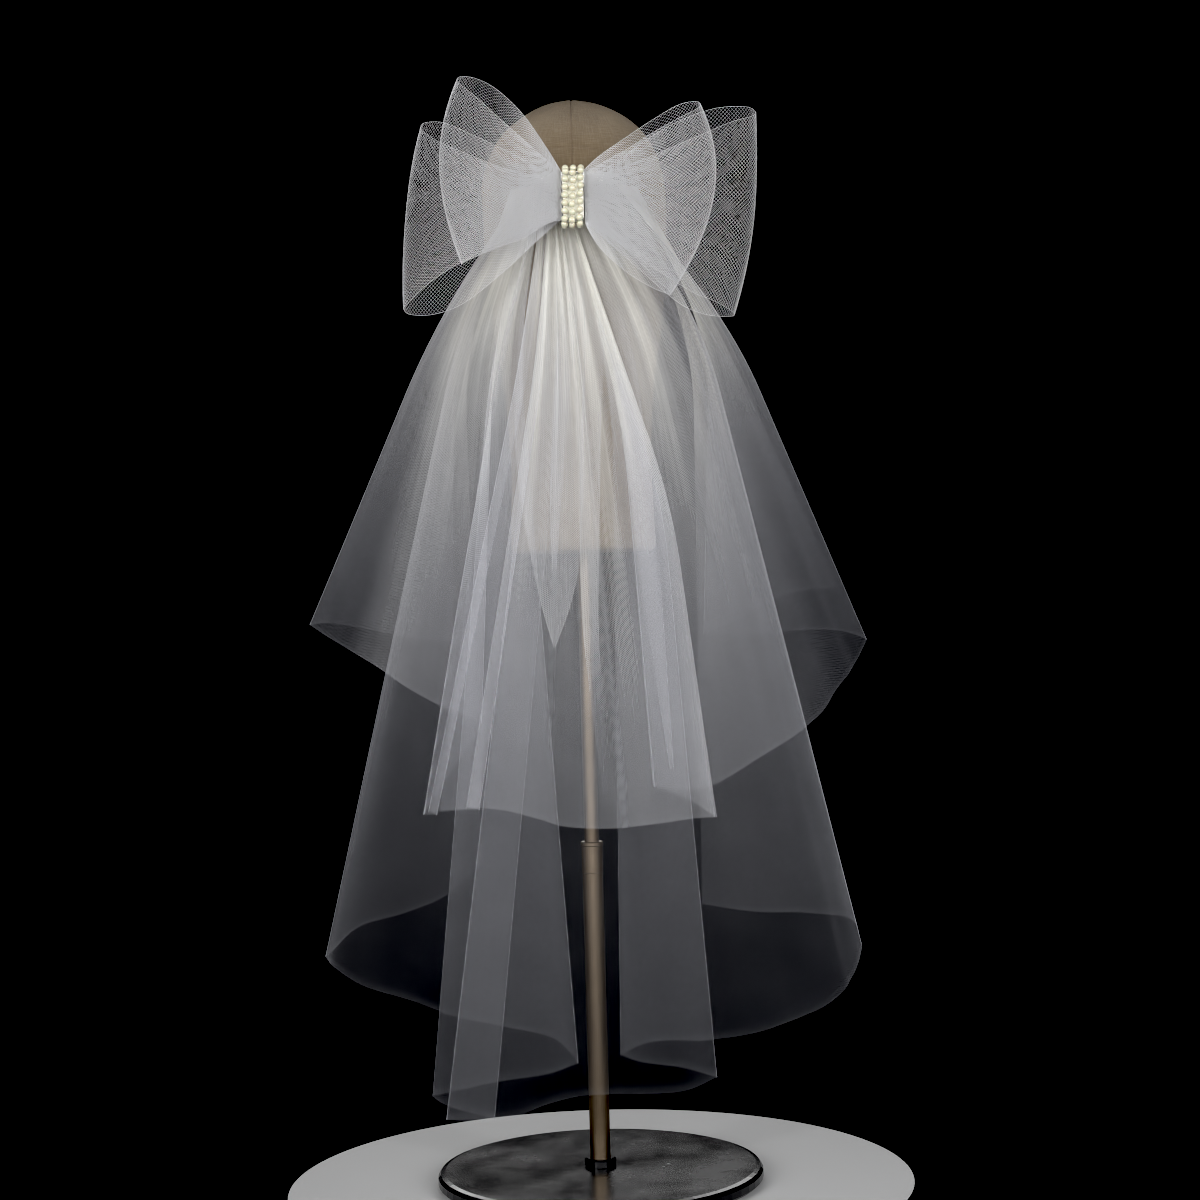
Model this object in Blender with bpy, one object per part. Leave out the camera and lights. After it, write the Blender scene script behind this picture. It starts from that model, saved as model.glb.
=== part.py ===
"""Bridal veil in two tiers of soft tulle with a crin bow, on a canvas display head and telescoping stand.

Frame: metres, +Z up, origin at the centre of the base disc's underside. The back of the
head, where the veil hangs, faces -Y, and +X is to the right of someone looking at the bow.
"""

import bpy
import bmesh
import math
import numpy as np

# ---------------------------------------------------------------- sizes (metres)
HEAD_TOP = 0.935          # crown above the table
HEAD_R = 0.080            # half width of the skull
GATHER_Z = 0.845          # height of the gathered top edges, at the comb
LONG_OFF = 0.0085         # gather line of the long tier, out from the canvas
SHORT_OFF = 0.0170        # gather line of the short tier, out from the canvas

# Plan sections of the head block: height, half width, half depth, centre y (mm)
HEAD_SECTIONS = [
    (545, 60, 60, -6), (552, 63, 63, -6), (600, 61, 62, -5), (650, 62, 66, -3),
    (700, 67, 77, 1), (750, 75, 88, 3), (800, 79, 96, 2), (855, 80, 98, 0),
    (885, 74.2, 91, 0), (910, 58.1, 71.5, 0), (925, 38.7, 48, 0), (932, 21.8, 27, 0), (935, 2.0, 2.5, 0),
]


def head_section(z):
    """Half width, half depth and centre y (m) of the head block at height z (m)."""
    rows = np.array(HEAD_SECTIONS, float) / 1000.0
    return [float(np.interp(z, rows[:, 0], rows[:, k])) for k in (1, 2, 3)]


def head_back(x, z):
    """y of the canvas at the back of the head, at x and height z (m)."""
    a, b, yc = head_section(z)
    return yc - b * math.sqrt(max(0.0, 1.0 - (x / a) ** 2))


# Folds of each tier, from its left free edge to its right one, in millimetres:
# name, x at the gather, outward offset there, shoulder x y z, hem x y z, sharpness, in the plain solid
SHORT_FOLDS = [
    ("edge_l", -51.5, 0, -108, -6, 724, -122, 88, 470, 0, 1),
    ("far_l2", -48.5, 1.5, -111, -12, 726, -157, 74, 474, 0, 0),
    ("far_l1", -45.5, -1.5, -114, -18, 730, -190, 46, 481, 0, 1),
    ("far_l0", -43, 1.5, -116, -26, 734, -219, 14, 488, 0, 0),
    ("tip_l", -40.5, -1.5, -122, -40, 737, -236, -20, 488, 1, 1),
    ("near_l0", -38, 1.5, -118, -58, 734, -219, -52, 479, 0, 0),
    ("near_l1", -36, -1.5, -108, -78, 732, -197, -86, 468, 0, 1),
    ("near_l2", -34, 1.5, -98, -96, 729, -170, -116, 453, 0, 0),
    ("near_l3", -32, -1.5, -87, -112, 727, -147, -138, 438, 0, 1),
    ("near_l4", -30, 1.5, -77, -124, 726, -117, -155, 422, 0, 0),
    ("inner_l", -28, 2.5, -66, -132, 724, -82, -163, 407, 1, 1),
    ("panel_l", -26, -2.5, -56, -145, 723, -128, -200, 339, 1, 1),
    ("a_r", -24.3, 1, -35, -143, 710, -121, -197, 339, 1, 0),
    ("a_b", -22.8, 2.5, -43, -139, 711, -127, -190, 341, 1, 0),
    ("b_l", -21.3, -2, -31, -145, 710, -92, -190, 342, 1, 1),
    ("b_r", -20.2, 1, -25, -143, 710, -87, -188, 341, 1, 0),
    ("b_b", -19.1, 2.5, -31, -139, 711, -97, -183, 343, 1, 0),
    ("c_1", -17.6, -2, -26, -145, 710, -64, -186, 339, 0, 1),
    ("c_2", -16.4, 2.5, -18, -141, 710, -41, -185, 332, 0, 0),
    ("c_3", -15.3, -2.5, -11, -148, 709, -22, -196, 327, 0, 1),
    ("c_4", -14.4, 2, -5, -143, 709, 0, -192, 324, 0, 0),
    ("ridge", -13.5, -3, 0, -150, 704, 23, -206, 325, 0.6, 1),
    ("c_5", -12.6, 2, 5, -144, 705, 35, -196, 325, 0, 0),
    ("c_6", -11.7, -2, 16, -148, 680, 58, -203, 328, 0, 1),
    ("c_7", -10.9, 1, 48, -154, 606, 84, -203, 331, 0, 0),
    ("panel_r", -10, -3, 73, -160, 581, 101, -198, 331, 1, 1),
    ("back_r", -8.3, 1.5, 48, -150, 607, 80, -180, 343, 0, 0),
    ("inner_r", -6.5, 3, 35, -141, 648, 53, -168, 354, 1, 1),
    ("near_r1", -4.5, -2, 50, -143, 680, 88, -166, 350, 0, 1),
    ("near_r2", -1.5, 2, 55, -137, 712, 114, -160, 360, 0, 0),
    ("near_r3", 2, -2.5, 60, -138, 720, 135, -152, 372, 0.4, 1),
    ("near_r4", 6, 2.5, 68, -130, 721, 156, -136, 382, 0, 0),
    ("near_r5", 11, -2, 78, -126, 721, 176, -124, 394, 0, 1),
    ("near_r6", 16, 2, 91, -110, 723, 195, -104, 408, 0, 0),
    ("near_r7", 22, -2, 107, -93, 724, 212, -82, 426, 0, 1),
    ("near_r8", 28, 2, 122, -68, 727, 229, -52, 445, 0, 0),
    ("tip_r", 34, -2, 131, -44, 733, 240, -20, 462, 1, 1),
    ("far_r1", 37.5, 1.5, 129, -33, 732, 224, 16, 470, 0, 0),
    ("far_r2", 41, -1.5, 125, -24, 732, 191, 56, 472, 0, 1),
    ("far_r3", 44, 1.5, 120, -17, 730, 150, 84, 469, 0, 0),
    ("far_r4", 47, 1.5, 114, -11, 728, 106, 104, 469, 1, 1),
    ("far_r5", 49, -1.5, 117, -5, 728, 137, 122, 482, 0, 0),
    ("far_r6", 51, 1.5, 120, -9, 730, 188, 116, 505, 0, 1),
    ("edge_r", 53, -1, 124, -13, 732, 229, 86, 510, 0, 1),
]
LONG_FOLDS = [
    ("edge_l", -51.5, 0, -99, 3, 716, -103, 132, 261, 0, 1),
    ("far_l3", -49, 1.5, -100, -3, 721, -136, 112, 236, 0, 0),
    ("far_l2", -46.5, -1.5, -101, -10, 728, -169, 84, 225, 0, 1),
    ("far_l1", -44, 1.5, -102, -18, 734, -207, 38, 220, 0, 0),
    ("tip_l", -41.5, -1.5, -103, -28, 739, -233, -20, 203, 1, 1),
    ("near_l0", -39, 1.5, -100, -43, 737, -218, -56, 198, 0, 0),
    ("near_l1", -36, -1.5, -92, -62, 734, -191, -84, 187, 0, 1),
    ("pleat_l", -33.5, 2.5, -81, -84, 722, -152, -100, 177, 0.4, 1),
    ("near_l2", -31, -1.5, -74, -94, 721, -123, -88, 163, 0, 0),
    ("near_l3", -29, 1.5, -66, -100, 720, -77, -70, 148, 0, 1),
    ("near_l4", -27, -1.5, -57, -105, 715, -35, -54, 133, 0, 0),
    ("inner_l", -25, 2, -47, -107, 710, -17, -34, 107, 1, 1),
    ("back_l1", -23.3, -1.5, -57, -113, 710, -41, -72, 107, 0, 0),
    ("back_l2", -21.6, 1.5, -63, -118, 710, -80, -104, 109, 0, 1),
    ("panel_l", -20, -2.5, -69, -124, 709, -133, -134, 105, 1, 1),
    ("p_1", -18.4, 1, -60, -125, 709, -124, -145, 101, 0, 0),
    ("strip_r", -16.9, 2, -15, -123, 667, -81, -156, 90, 1, 1),
    ("strip_l", -15.4, -2.5, -38, -131, 667, -120, -168, 93, 1, 1),
    ("p_2", -14, -1, -20, -131, 682, -74, -174, 93, 0, 0),
    ("p_3", -12.8, 2, -15, -126, 683, -42, -165, 102, 0, 1),
    ("p_4", -11.6, -2, -8, -131, 682, -15, -164, 108, 0, 0),
    ("p_5", -10.4, 2, -1, -126, 682, 11, -158, 108, 0, 1),
    ("p_6", -9.2, -2, 10, -131, 673, 38, -157, 107, 0, 0),
    ("p_7", -8, 1, 37, -131, 640, 70, -146, 106, 0, 1),
    ("panel_r", -6.8, -2.5, 66, -131, 583, 98, -116, 110, 1, 1),
    ("back_r1", -5.2, 1.5, 49, -124, 608, 70, -84, 112, 0, 0),
    ("back_r2", -3.6, -1.5, 37, -118, 633, 38, -58, 112, 0, 1),
    ("inner_r", -2, 2.5, 27, -112, 667, 19, -34, 114, 1, 1),
    ("near_r1", 1, -1.5, 39, -114, 691, 45, -50, 128, 0, 0),
    ("near_r2", 5, 1.5, 50, -111, 711, 90, -78, 133, 0, 1),
    ("near_r3", 10, -1.5, 58, -113, 719, 133, -100, 143, 0, 0),
    ("near_r4", 16, 2.5, 69, -103, 724, 168, -104, 154, 0.4, 1),
    ("near_r5", 22, -1.5, 82, -92, 725, 196, -88, 165, 0, 0),
    ("near_r6", 28, 1.5, 96, -70, 727, 219, -58, 181, 0, 1),
    ("tip_r", 33.5, -1.5, 109, -40, 734, 232, -18, 199, 1, 1),
    ("far_r1", 38, 1.5, 107, -26, 733, 227, 22, 217, 0, 0),
    ("far_r2", 42, -1.5, 106, -16, 731, 195, 62, 217, 0, 1),
    ("far_r3", 46, 1.5, 103, -7, 726, 149, 94, 216, 0, 0),
    ("edge_r", 50.5, 0, 101, 1, 719, 101, 122, 221, 0, 1),
]
EASE = 0.055              # half height over which a fold bends at its shoulder


def fold_point(row, off, v):
    """A fold's point at fraction v of the way from the gather (0) to the hem (1)."""
    _, tx, tout, sx, sy, sz, hx, hy, hz = row[:9]
    tx, sx, sy, sz, hx, hy, hz = (q / 1000.0 for q in (tx, sx, sy, sz, hx, hy, hz))
    ty = head_back(tx, GATHER_Z) - off + tout / 1000.0
    z = GATHER_Z + (hz - GATHER_Z) * v
    out = []
    ease = min(EASE, 0.9 * (GATHER_Z - sz), 0.9 * (sz - hz))
    for t, s, h in ((tx, sx, hx), (ty, sy, hy)):
        up, low = (t - s) / (GATHER_Z - sz), (s - h) / (sz - hz)
        k = z - sz
        if k <= -ease:
            out.append(s + low * k)
        elif k >= ease:
            out.append(s + up * k)
        else:
            out.append(s + low * k + (up - low) * (k + ease) ** 2 / (4 * ease))
    return np.array([out[0], out[1], z])


def tier_grid(folds, off, levels, per_span, plain):
    """Points [level, column] of a tier: folds joined by curves, sharp at creases."""
    rows = [r for r in folds if r[10] or not plain]
    sharp = np.array([r[9] for r in rows], float)
    grid, us = [], []
    for v in levels:
        p = np.array([fold_point(r, off, v) for r in rows])
        n = len(p)
        seg = p[1:] - p[:-1]
        left, right = np.zeros_like(p), np.zeros_like(p)
        for i in range(n):
            a = seg[i - 1] if i > 0 else seg[0]
            b = seg[i] if i < n - 1 else seg[-1]
            la, lb = np.linalg.norm(a), np.linalg.norm(b)
            mean = (a / la + b / lb) * 0.5
            left[i] = (1 - sharp[i]) * mean * la + sharp[i] * a
            right[i] = (1 - sharp[i]) * mean * lb + sharp[i] * b
        line = []
        for i in range(n - 1):
            k = per_span if np.ndim(per_span) == 0 else per_span[i]
            for j in range(k):
                t = j / k
                h00, h10 = 2 * t**3 - 3 * t**2 + 1, t**3 - 2 * t**2 + t
                h01, h11 = -2 * t**3 + 3 * t**2, t**3 - t**2
                line.append(h00 * p[i] + h10 * right[i] + h01 * p[i + 1] + h11 * left[i + 1])
        line.append(p[-1])
        grid.append(line)
    return np.array(grid)

WALL = 0.0012             # wall of a tulle tier
CRIN_WALL = 0.0010        # wall of a crin ribbon
GAP = 0.0003              # seam gap between pieces

BASE_R, BASE_T = 0.141, 0.012
POLE_R, POLE_BORE = 0.0088, 0.0068     # lower tube
MAST_R, MAST_BORE = 0.0062, 0.0050     # sliding upper tube
COLLAR_Z = (0.2669, 0.2936)
MAST_Z = (0.095, 0.6042)
NECK_Z = HEAD_SECTIONS[0][0] / 1000.0
SOCKET_R, SOCKET_TOP = 0.0066, 0.6050
KNOT_X = (-0.0080, 0.0088)             # sides of the bow's knot
PEARL = 0.0060

# Ribbon stations of each bow loop, in millimetres, from the knot round the fold and back to it:
# name, top x z, bottom x z, depth y, sideways swell, outward swell at the middle of the ribbon
LOOPS = {
    "front_left": [
        ("f0", -8.9, 848, -8.9, 808, -153.5, 0, 0),
        ("f1", -18.5, 864, -20, 805, -158, 0, -4),
        ("f2", -37.5, 891, -40, 792, -166, 0, -9),
        ("f3", -57.5, 910, -63, 784, -172, 0, -13),
        ("f4", -73.5, 918.5, -79, 776.5, -175, 0, -15),
        ("f5", -85.5, 920.5, -89, 772, -174, -8, -16),
        ("fold", -88.5, 919.5, -90.5, 772.5, -168, -14.5, -7),
        ("b5", -86.5, 917.5, -89, 775, -162, -9.5, 2),
        ("b4", -73.5, 907, -77.5, 782.5, -157, 0, 3),
        ("b3", -56.5, 891, -60, 791, -154, 0, 2),
        ("b2", -37, 873.5, -39, 800, -151, 0, 1),
        ("b0", -8.9, 847, -8.9, 810, -147.5, 0, 0),
    ],
    "back_left": [
        ("f0", -8.9, 844, -8.9, 811, -141.5, 0, 0),
        ("f1", -25.5, 852, -27, 796, -143.5, 0, -1),
        ("f2", -49.5, 865, -56, 770, -146.5, 0, -3),
        ("f3", -77, 878.5, -88, 745.5, -148, 0, -5),
        ("f4", -101, 890, -112.5, 736.5, -146, 0, -7),
        ("f5", -116, 892.5, -133, 737.5, -138, -5, -8),
        ("fold", -120.5, 891, -139.5, 743.5, -130, -7, -3),
        ("b5", -119, 888.5, -136.5, 749, -122, -4, 4),
        ("b4", -107.5, 881, -118.5, 766.5, -117, 0, 5),
        ("b3", -83, 869, -92, 781.5, -121, 0, 4),
        ("b2", -50.5, 854, -53.5, 794, -130, 0, 2),
        ("b0", -8.9, 843.5, -8.9, 814, -135.5, 0, 0),
    ],
    "front_right": [
        ("f0", 9.7, 848, 9.7, 805, -153.5, 0, 0),
        ("f1", 23, 858.5, 21, 784.5, -158, 0, -4),
        ("f2", 43, 870, 40, 764, -166, 0, -9),
        ("f3", 63, 881.5, 59.5, 750, -172, 0, -13),
        ("f4", 85, 893, 70.5, 744.5, -175, 5, -15),
        ("f5", 98.5, 896, 75, 743, -174, 13.5, -16),
        ("fold", 103.5, 895.5, 77, 744, -168, 21, -7),
        ("b5", 101.5, 893, 75, 748, -162, 14.5, 2),
        ("b4", 86, 886.5, 68, 755, -157, 5, 3),
        ("b3", 65, 876, 56.5, 768, -154, 0, 2),
        ("b2", 43, 863.5, 38.5, 786.5, -151, 0, 1),
        ("b0", 9.7, 847, 9.7, 808, -147.5, 0, 0),
    ],
    "back_right": [
        ("f0", 9.7, 843.5, 9.7, 809, -141.5, 0, 0),
        ("f1", 31, 853, 30.5, 788.5, -143.5, 0, -1),
        ("f2", 59.5, 872, 56.5, 763.5, -146.5, 0, -3),
        ("f3", 88, 887, 84, 739, -148, 0, -5),
        ("f4", 116.5, 896.5, 104.5, 730, -146, 0, -7),
        ("f5", 142, 899, 122, 729, -138, 4, -8),
        ("fold", 151.5, 896, 128, 731, -130, 6.5, -3),
        ("b5", 148, 894, 126.5, 735.5, -122, 4, 4),
        ("b4", 130, 890.5, 111.5, 745.5, -117, 0, 5),
        ("b3", 101, 878.5, 93.5, 753, -121, 0, 4),
        ("b2", 55.5, 859, 49, 782, -130, 0, 2),
        ("b0", 9.7, 843, 9.7, 812.5, -135.5, 0, 0),
    ],
}

# Pearl strands over the knot: name, x at the top, x at the bottom (mm)
STRANDS = [("left", -5.2, -7.0), ("middle", 1.0, -0.9), ("right", 7.2, 5.2)]

# Knot outline in the y-z plane (mm), front edge rounded, back edge following the gathers
KNOT_FRONT, KNOT_TOP, KNOT_BOTTOM = -156.0, 846.5, 808.5


# ---------------------------------------------------------------- helpers
def clear_scene():
    for obj in list(bpy.data.objects):
        bpy.data.objects.remove(obj, do_unlink=True)


def material(name, colour, roughness, metallic=0.0):
    mat = bpy.data.materials.new(name)
    mat.use_nodes = True
    shader = mat.node_tree.nodes["Principled BSDF"]
    shader.inputs["Base Color"].default_value = (*colour, 1.0)
    shader.inputs["Roughness"].default_value = roughness
    shader.inputs["Metallic"].default_value = metallic
    return mat


def add(name, bm, mat, smooth=35.0):
    bmesh.ops.recalc_face_normals(bm, faces=bm.faces[:])
    mesh = bpy.data.meshes.new(name)
    bm.to_mesh(mesh)
    bm.free()
    mesh.materials.append(mat)
    mesh.shade_smooth()
    mesh.set_sharp_from_angle(angle=math.radians(smooth))
    obj = bpy.data.objects.new(name, mesh)
    bpy.context.scene.collection.objects.link(obj)
    return obj


def wall(name, grid, thickness, mat):
    """A sheet of cloth from its points [level, column], made a wall by Solidify."""
    bm = bmesh.new()
    verts = [[bm.verts.new(p) for p in line] for line in grid]
    for a, b in zip(verts[:-1], verts[1:]):
        for i in range(len(a) - 1):
            bm.faces.new((a[i], a[i + 1], b[i + 1], b[i]))
    obj = add(name, bm, mat, 60.0)
    solid = obj.modifiers.new("Wall", "SOLIDIFY")
    solid.thickness = thickness
    solid.offset = 0.0
    solid.use_rim = True
    return obj


def rings(name, loops, mat, at=(0.0, 0.0), cap_first=True, cap_last=True, smooth=35.0):
    """A body lofted through closed rings of equal count; loops are lists of points."""
    bm = bmesh.new()
    rows = [[bm.verts.new((p[0] + at[0], p[1] + at[1], p[2])) for p in loop] for loop in loops]
    n = len(rows[0])
    for a, b in zip(rows[:-1], rows[1:]):
        for i in range(n):
            bm.faces.new((a[i], a[(i + 1) % n], b[(i + 1) % n], b[i]))
    if cap_first:
        bm.faces.new(rows[0])
    if cap_last:
        bm.faces.new(rows[-1])
    if not cap_first and not cap_last:
        for i in range(n):
            bm.faces.new((rows[-1][i], rows[-1][(i + 1) % n], rows[0][(i + 1) % n], rows[0][i]))
    return add(name, bm, mat, smooth)


def circle(r, z, n, ry=None, yc=0.0):
    ry = r if ry is None else ry
    return [(r * math.cos(2 * math.pi * i / n), yc + ry * math.sin(2 * math.pi * i / n), z) for i in range(n)]


def turned(name, profile, mat, n=32, closed=True):
    """A turned piece: profile is (radius, height) in metres; closed joins its ends in a ring."""
    return rings(name, [circle(r, z, n) for r, z in profile], mat, cap_first=not closed, cap_last=not closed)


def loop_grid(stations, along, across):
    """Points [across, along] of a bow loop's ribbon."""
    p = np.array([s[1:] for s in stations], float) / 1000.0
    n = len(p)
    t = np.linspace(0, n - 1, along)
    i = np.clip(t.astype(int), 0, n - 2)
    f = (t - i)[:, None]
    prev, nxt = p[np.clip(i - 1, 0, n - 1)], p[np.clip(i + 2, 0, n - 1)]
    m0, m1 = (p[i + 1] - prev) / 2, (nxt - p[i]) / 2
    q = (2 * f**3 - 3 * f**2 + 1) * p[i] + (f**3 - 2 * f**2 + f) * m0
    q += (-2 * f**3 + 3 * f**2) * p[i + 1] + (f**3 - f**2) * m1
    out = []
    for w in np.linspace(-1, 1, across):
        k = (w + 1) / 2
        swell = 1 - w * w
        x = q[:, 2] + (q[:, 0] - q[:, 2]) * k + q[:, 5] * swell
        z = q[:, 3] + (q[:, 1] - q[:, 3]) * k
        y = q[:, 4] + q[:, 6] * swell
        out.append(np.stack([x, y, z], axis=1))
    return np.array(out)


# ---------------------------------------------------------------- the pieces
def stand(mats):
    e = 0.0022
    turned("base_disc", [(BASE_R - e, 0.0), (BASE_R, e), (BASE_R, BASE_T - 0.004), (BASE_R - e, BASE_T - 0.001),
                         (BASE_R - 0.006, BASE_T)], mats["base"], n=64, closed=False)
    turned("foot_ring", [(POLE_R + GAP, BASE_T + GAP), (0.0135, BASE_T + GAP), (0.0135, 0.0175), (0.0120, 0.0192),
                         (POLE_R + GAP, 0.0192)], mats["base"])
    turned("lower_tube", [(POLE_BORE, BASE_T + GAP), (POLE_R, BASE_T + GAP), (POLE_R, COLLAR_Z[0] - GAP),
                          (POLE_BORE, COLLAR_Z[0] - GAP)], mats["brass"])
    z0, z1 = COLLAR_Z
    turned("collar", [(POLE_BORE, z0), (0.0091, z0), (0.0091, z1 - 0.0040), (0.0098, z1 - 0.0034),
                      (0.0098, z1 - 0.0008), (0.0092, z1), (POLE_BORE, z1)], mats["brass"])
    turned("upper_tube", [(MAST_BORE, MAST_Z[0]), (MAST_R, MAST_Z[0]), (MAST_R, MAST_Z[1]),
                          (MAST_BORE, MAST_Z[1])], mats["brass"])


def canvas_head(mats, n=36):
    loops = [circle(SOCKET_R, SOCKET_TOP, n), circle(SOCKET_R, NECK_Z, n)]
    for z, a, b, yc in HEAD_SECTIONS:
        loops.append(circle(a / 1000.0, z / 1000.0, n, b / 1000.0, yc / 1000.0))
    rings("canvas_head", loops, mats["canvas"], smooth=50.0)


def comb(mats):
    """A bar with teeth, bent to the back of the head: cells of an outline, made thick."""
    width, bar, tooth_end = 0.090, (0.8475, 0.8570), 0.8200
    teeth = 12
    cells = 2 * teeth - 1
    xs = np.linspace(-width / 2, width / 2, cells + 1)
    zs = [tooth_end, bar[0], bar[1]]
    filled = {(i, 1) for i in range(cells)} | {(i, 0) for i in range(0, cells, 2)}
    bm = bmesh.new()
    made = {}

    def vert(i, j, side):
        key = (i, j, side)
        if key not in made:
            x, z = xs[i], zs[j]
            made[key] = bm.verts.new((x, head_back(x, 0.855) - (0.0008 if side == 0 else 0.0026), z))
        return made[key]

    for i, j in sorted(filled):
        bm.faces.new([vert(i, j, 0), vert(i + 1, j, 0), vert(i + 1, j + 1, 0), vert(i, j + 1, 0)])
        bm.faces.new([vert(i, j, 1), vert(i, j + 1, 1), vert(i + 1, j + 1, 1), vert(i + 1, j, 1)])
        sides = (((i, j), (i + 1, j), (i, j - 1)), ((i + 1, j), (i + 1, j + 1), (i + 1, j)),
                 ((i + 1, j + 1), (i, j + 1), (i, j + 1)), ((i, j + 1), (i, j), (i - 1, j)))
        for a, b, beyond in sides:
            if beyond not in filled:
                bm.faces.new([vert(*a, 0), vert(*a, 1), vert(*b, 1), vert(*b, 0)])
    add("comb", bm, mats["comb"], 30.0)


def knot_outline():
    """The knot's outline in y and z (m), counter-clockwise from its back top."""
    r, steps = 4.5, 4
    pts = [(-101.8, 848.6), (-101.8, 855.5), (-122.0, 853.4), (-132.5, KNOT_TOP + 0.6)]
    centre = (KNOT_FRONT + r, KNOT_TOP - r)
    pts += [(centre[0] - r * math.sin(a), centre[1] + r * math.cos(a))
            for a in (math.pi / 2 * k / steps for k in range(steps + 1))]
    centre = (KNOT_FRONT + r, KNOT_BOTTOM + r)
    pts += [(centre[0] - r * math.cos(a), centre[1] - r * math.sin(a))
            for a in (math.pi / 2 * k / steps for k in range(steps + 1))]
    pts += [(-129.5, KNOT_BOTTOM + 1.0), (-123.0, 843.0), (-121.8, 848.6)]
    return [(y / 1000.0, z / 1000.0) for y, z in pts]


def knot(mats):
    outline = knot_outline()
    x0, x1 = KNOT_X
    e = 0.0008
    cy = sum(p[0] for p in outline) / len(outline)
    cz = sum(p[1] for p in outline) / len(outline)
    loops = []
    for x, shrink in ((x0, 0.97), (x0 + e, 1.0), (x1 - e, 1.0), (x1, 0.97)):
        loops.append([(x, cy + (y - cy) * shrink, cz + (z - cz) * shrink) for y, z in outline])
    rings("knot", loops, mats["crin"])


def strand_path(x_top, x_bottom, r):
    """The way a strand of pearls takes over the front of the knot."""
    front = KNOT_FRONT / 1000.0 - r - 0.0004
    top, bottom = KNOT_TOP / 1000.0 + r + 0.0004, KNOT_BOTTOM / 1000.0 - r - 0.0004
    turn = 0.0045 + r
    pts = [(-0.1400, top)]
    for k in range(7):
        a = math.pi / 2 * k / 6
        pts.append((front + turn - turn * math.sin(a), top - turn + turn * math.cos(a)))
    for k in range(1, 6):
        pts.append((front, top - turn + (bottom - top + 2 * turn) * k / 6))
    for k in range(7):
        a = math.pi / 2 * k / 6
        pts.append((front + turn - turn * math.cos(a), bottom + turn - turn * math.sin(a)))
    pts.append((-0.1400, bottom))
    out = []
    for y, z in pts:
        k = (top - z) / (top - bottom)
        out.append(((x_top + (x_bottom - x_top) * k) / 1000.0, y, z))
    return out


def strands(mats):
    for name, x_top, x_bottom in STRANDS:
        r = PEARL / 2
        curve = bpy.data.curves.new("pearls_" + name, "CURVE")
        curve.dimensions = "3D"
        curve.bevel_depth = r * 0.97
        curve.bevel_resolution = 2
        curve.use_fill_caps = True
        points = strand_path(x_top, x_bottom, r)
        spline = curve.splines.new("POLY")
        spline.points.add(len(points) - 1)
        for point, co in zip(spline.points, points):
            point.co = (*co, 1.0)
        curve.materials.append(mats["pearl"])
        obj = bpy.data.objects.new("pearls_" + name, curve)
        bpy.context.scene.collection.objects.link(obj)


def veil(mats):
    levels = [0.0, 0.055, 0.115, 0.185, 0.27, 0.38, 0.53, 0.74, 1.0]
    for name, folds, off in (("tulle_short", SHORT_FOLDS, SHORT_OFF), ("tulle_long", LONG_FOLDS, LONG_OFF)):
        rows = [r for r in folds if r[10]]
        spans = [1 if rows[i][9] + rows[i + 1][9] >= 2 else 2 for i in range(len(rows) - 1)]
        grid = tier_grid(folds, off, levels, spans, True)
        wall(name, grid, WALL, mats["tulle"])


def bow(mats):
    for name, stations in LOOPS.items():
        wall("loop_" + name, loop_grid(stations, 23, 6), CRIN_WALL, mats["crin"])


def build():
    clear_scene()
    mats = {
        "base": material("base_black", (0.010, 0.010, 0.011), 0.18),
        "brass": material("champagne_metal", (0.52, 0.42, 0.32), 0.30, 1.0),
        "canvas": material("head_canvas", (0.42, 0.33, 0.23), 0.85),
        "comb": material("comb_metal", (0.62, 0.62, 0.60), 0.35, 1.0),
        "crin": material("bow_crin", (0.86, 0.86, 0.87), 0.45),
        "pearl": material("pearls", (0.88, 0.84, 0.72), 0.20),
        "tulle": material("soft_tulle", (0.86, 0.85, 0.82), 0.80),
    }
    stand(mats)
    canvas_head(mats)
    comb(mats)
    veil(mats)
    bow(mats)
    knot(mats)
    strands(mats)


build()
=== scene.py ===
"""Looks of a two-tier bridal veil with a crin bow and pearl strands, shown on a canvas head and a metal stand."""
import math

import bpy
import numpy as np
from mathutils import Matrix, Vector


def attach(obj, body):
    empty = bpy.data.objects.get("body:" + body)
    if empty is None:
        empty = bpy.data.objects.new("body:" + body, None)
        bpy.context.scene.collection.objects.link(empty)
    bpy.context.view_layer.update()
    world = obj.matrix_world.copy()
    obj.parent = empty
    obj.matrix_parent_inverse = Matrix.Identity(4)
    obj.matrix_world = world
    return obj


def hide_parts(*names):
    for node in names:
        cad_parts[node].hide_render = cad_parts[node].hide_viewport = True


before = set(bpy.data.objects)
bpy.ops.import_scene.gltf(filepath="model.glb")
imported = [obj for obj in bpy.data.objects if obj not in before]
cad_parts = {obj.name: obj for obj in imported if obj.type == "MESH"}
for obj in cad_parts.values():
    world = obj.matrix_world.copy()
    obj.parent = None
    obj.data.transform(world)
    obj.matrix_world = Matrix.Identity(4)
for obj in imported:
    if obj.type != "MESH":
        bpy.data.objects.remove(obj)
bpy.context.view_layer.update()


# ---------------------------------------------------------------- sizes (metres)
HEAD_TOP = 0.935          # crown above the table
HEAD_R = 0.080            # half width of the skull
GATHER_Z = 0.845          # height of the gathered top edges, at the comb
LONG_OFF = 0.0085         # gather line of the long tier, out from the canvas
SHORT_OFF = 0.0170        # gather line of the short tier, out from the canvas

# Plan sections of the head block: height, half width, half depth, centre y (mm)
HEAD_SECTIONS = [
    (545, 60, 60, -6), (552, 63, 63, -6), (600, 61, 62, -5), (650, 62, 66, -3),
    (700, 67, 77, 1), (750, 75, 88, 3), (800, 79, 96, 2), (855, 80, 98, 0),
    (885, 74.2, 91, 0), (910, 58.1, 71.5, 0), (925, 38.7, 48, 0), (932, 21.8, 27, 0), (935, 2.0, 2.5, 0),
]


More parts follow.
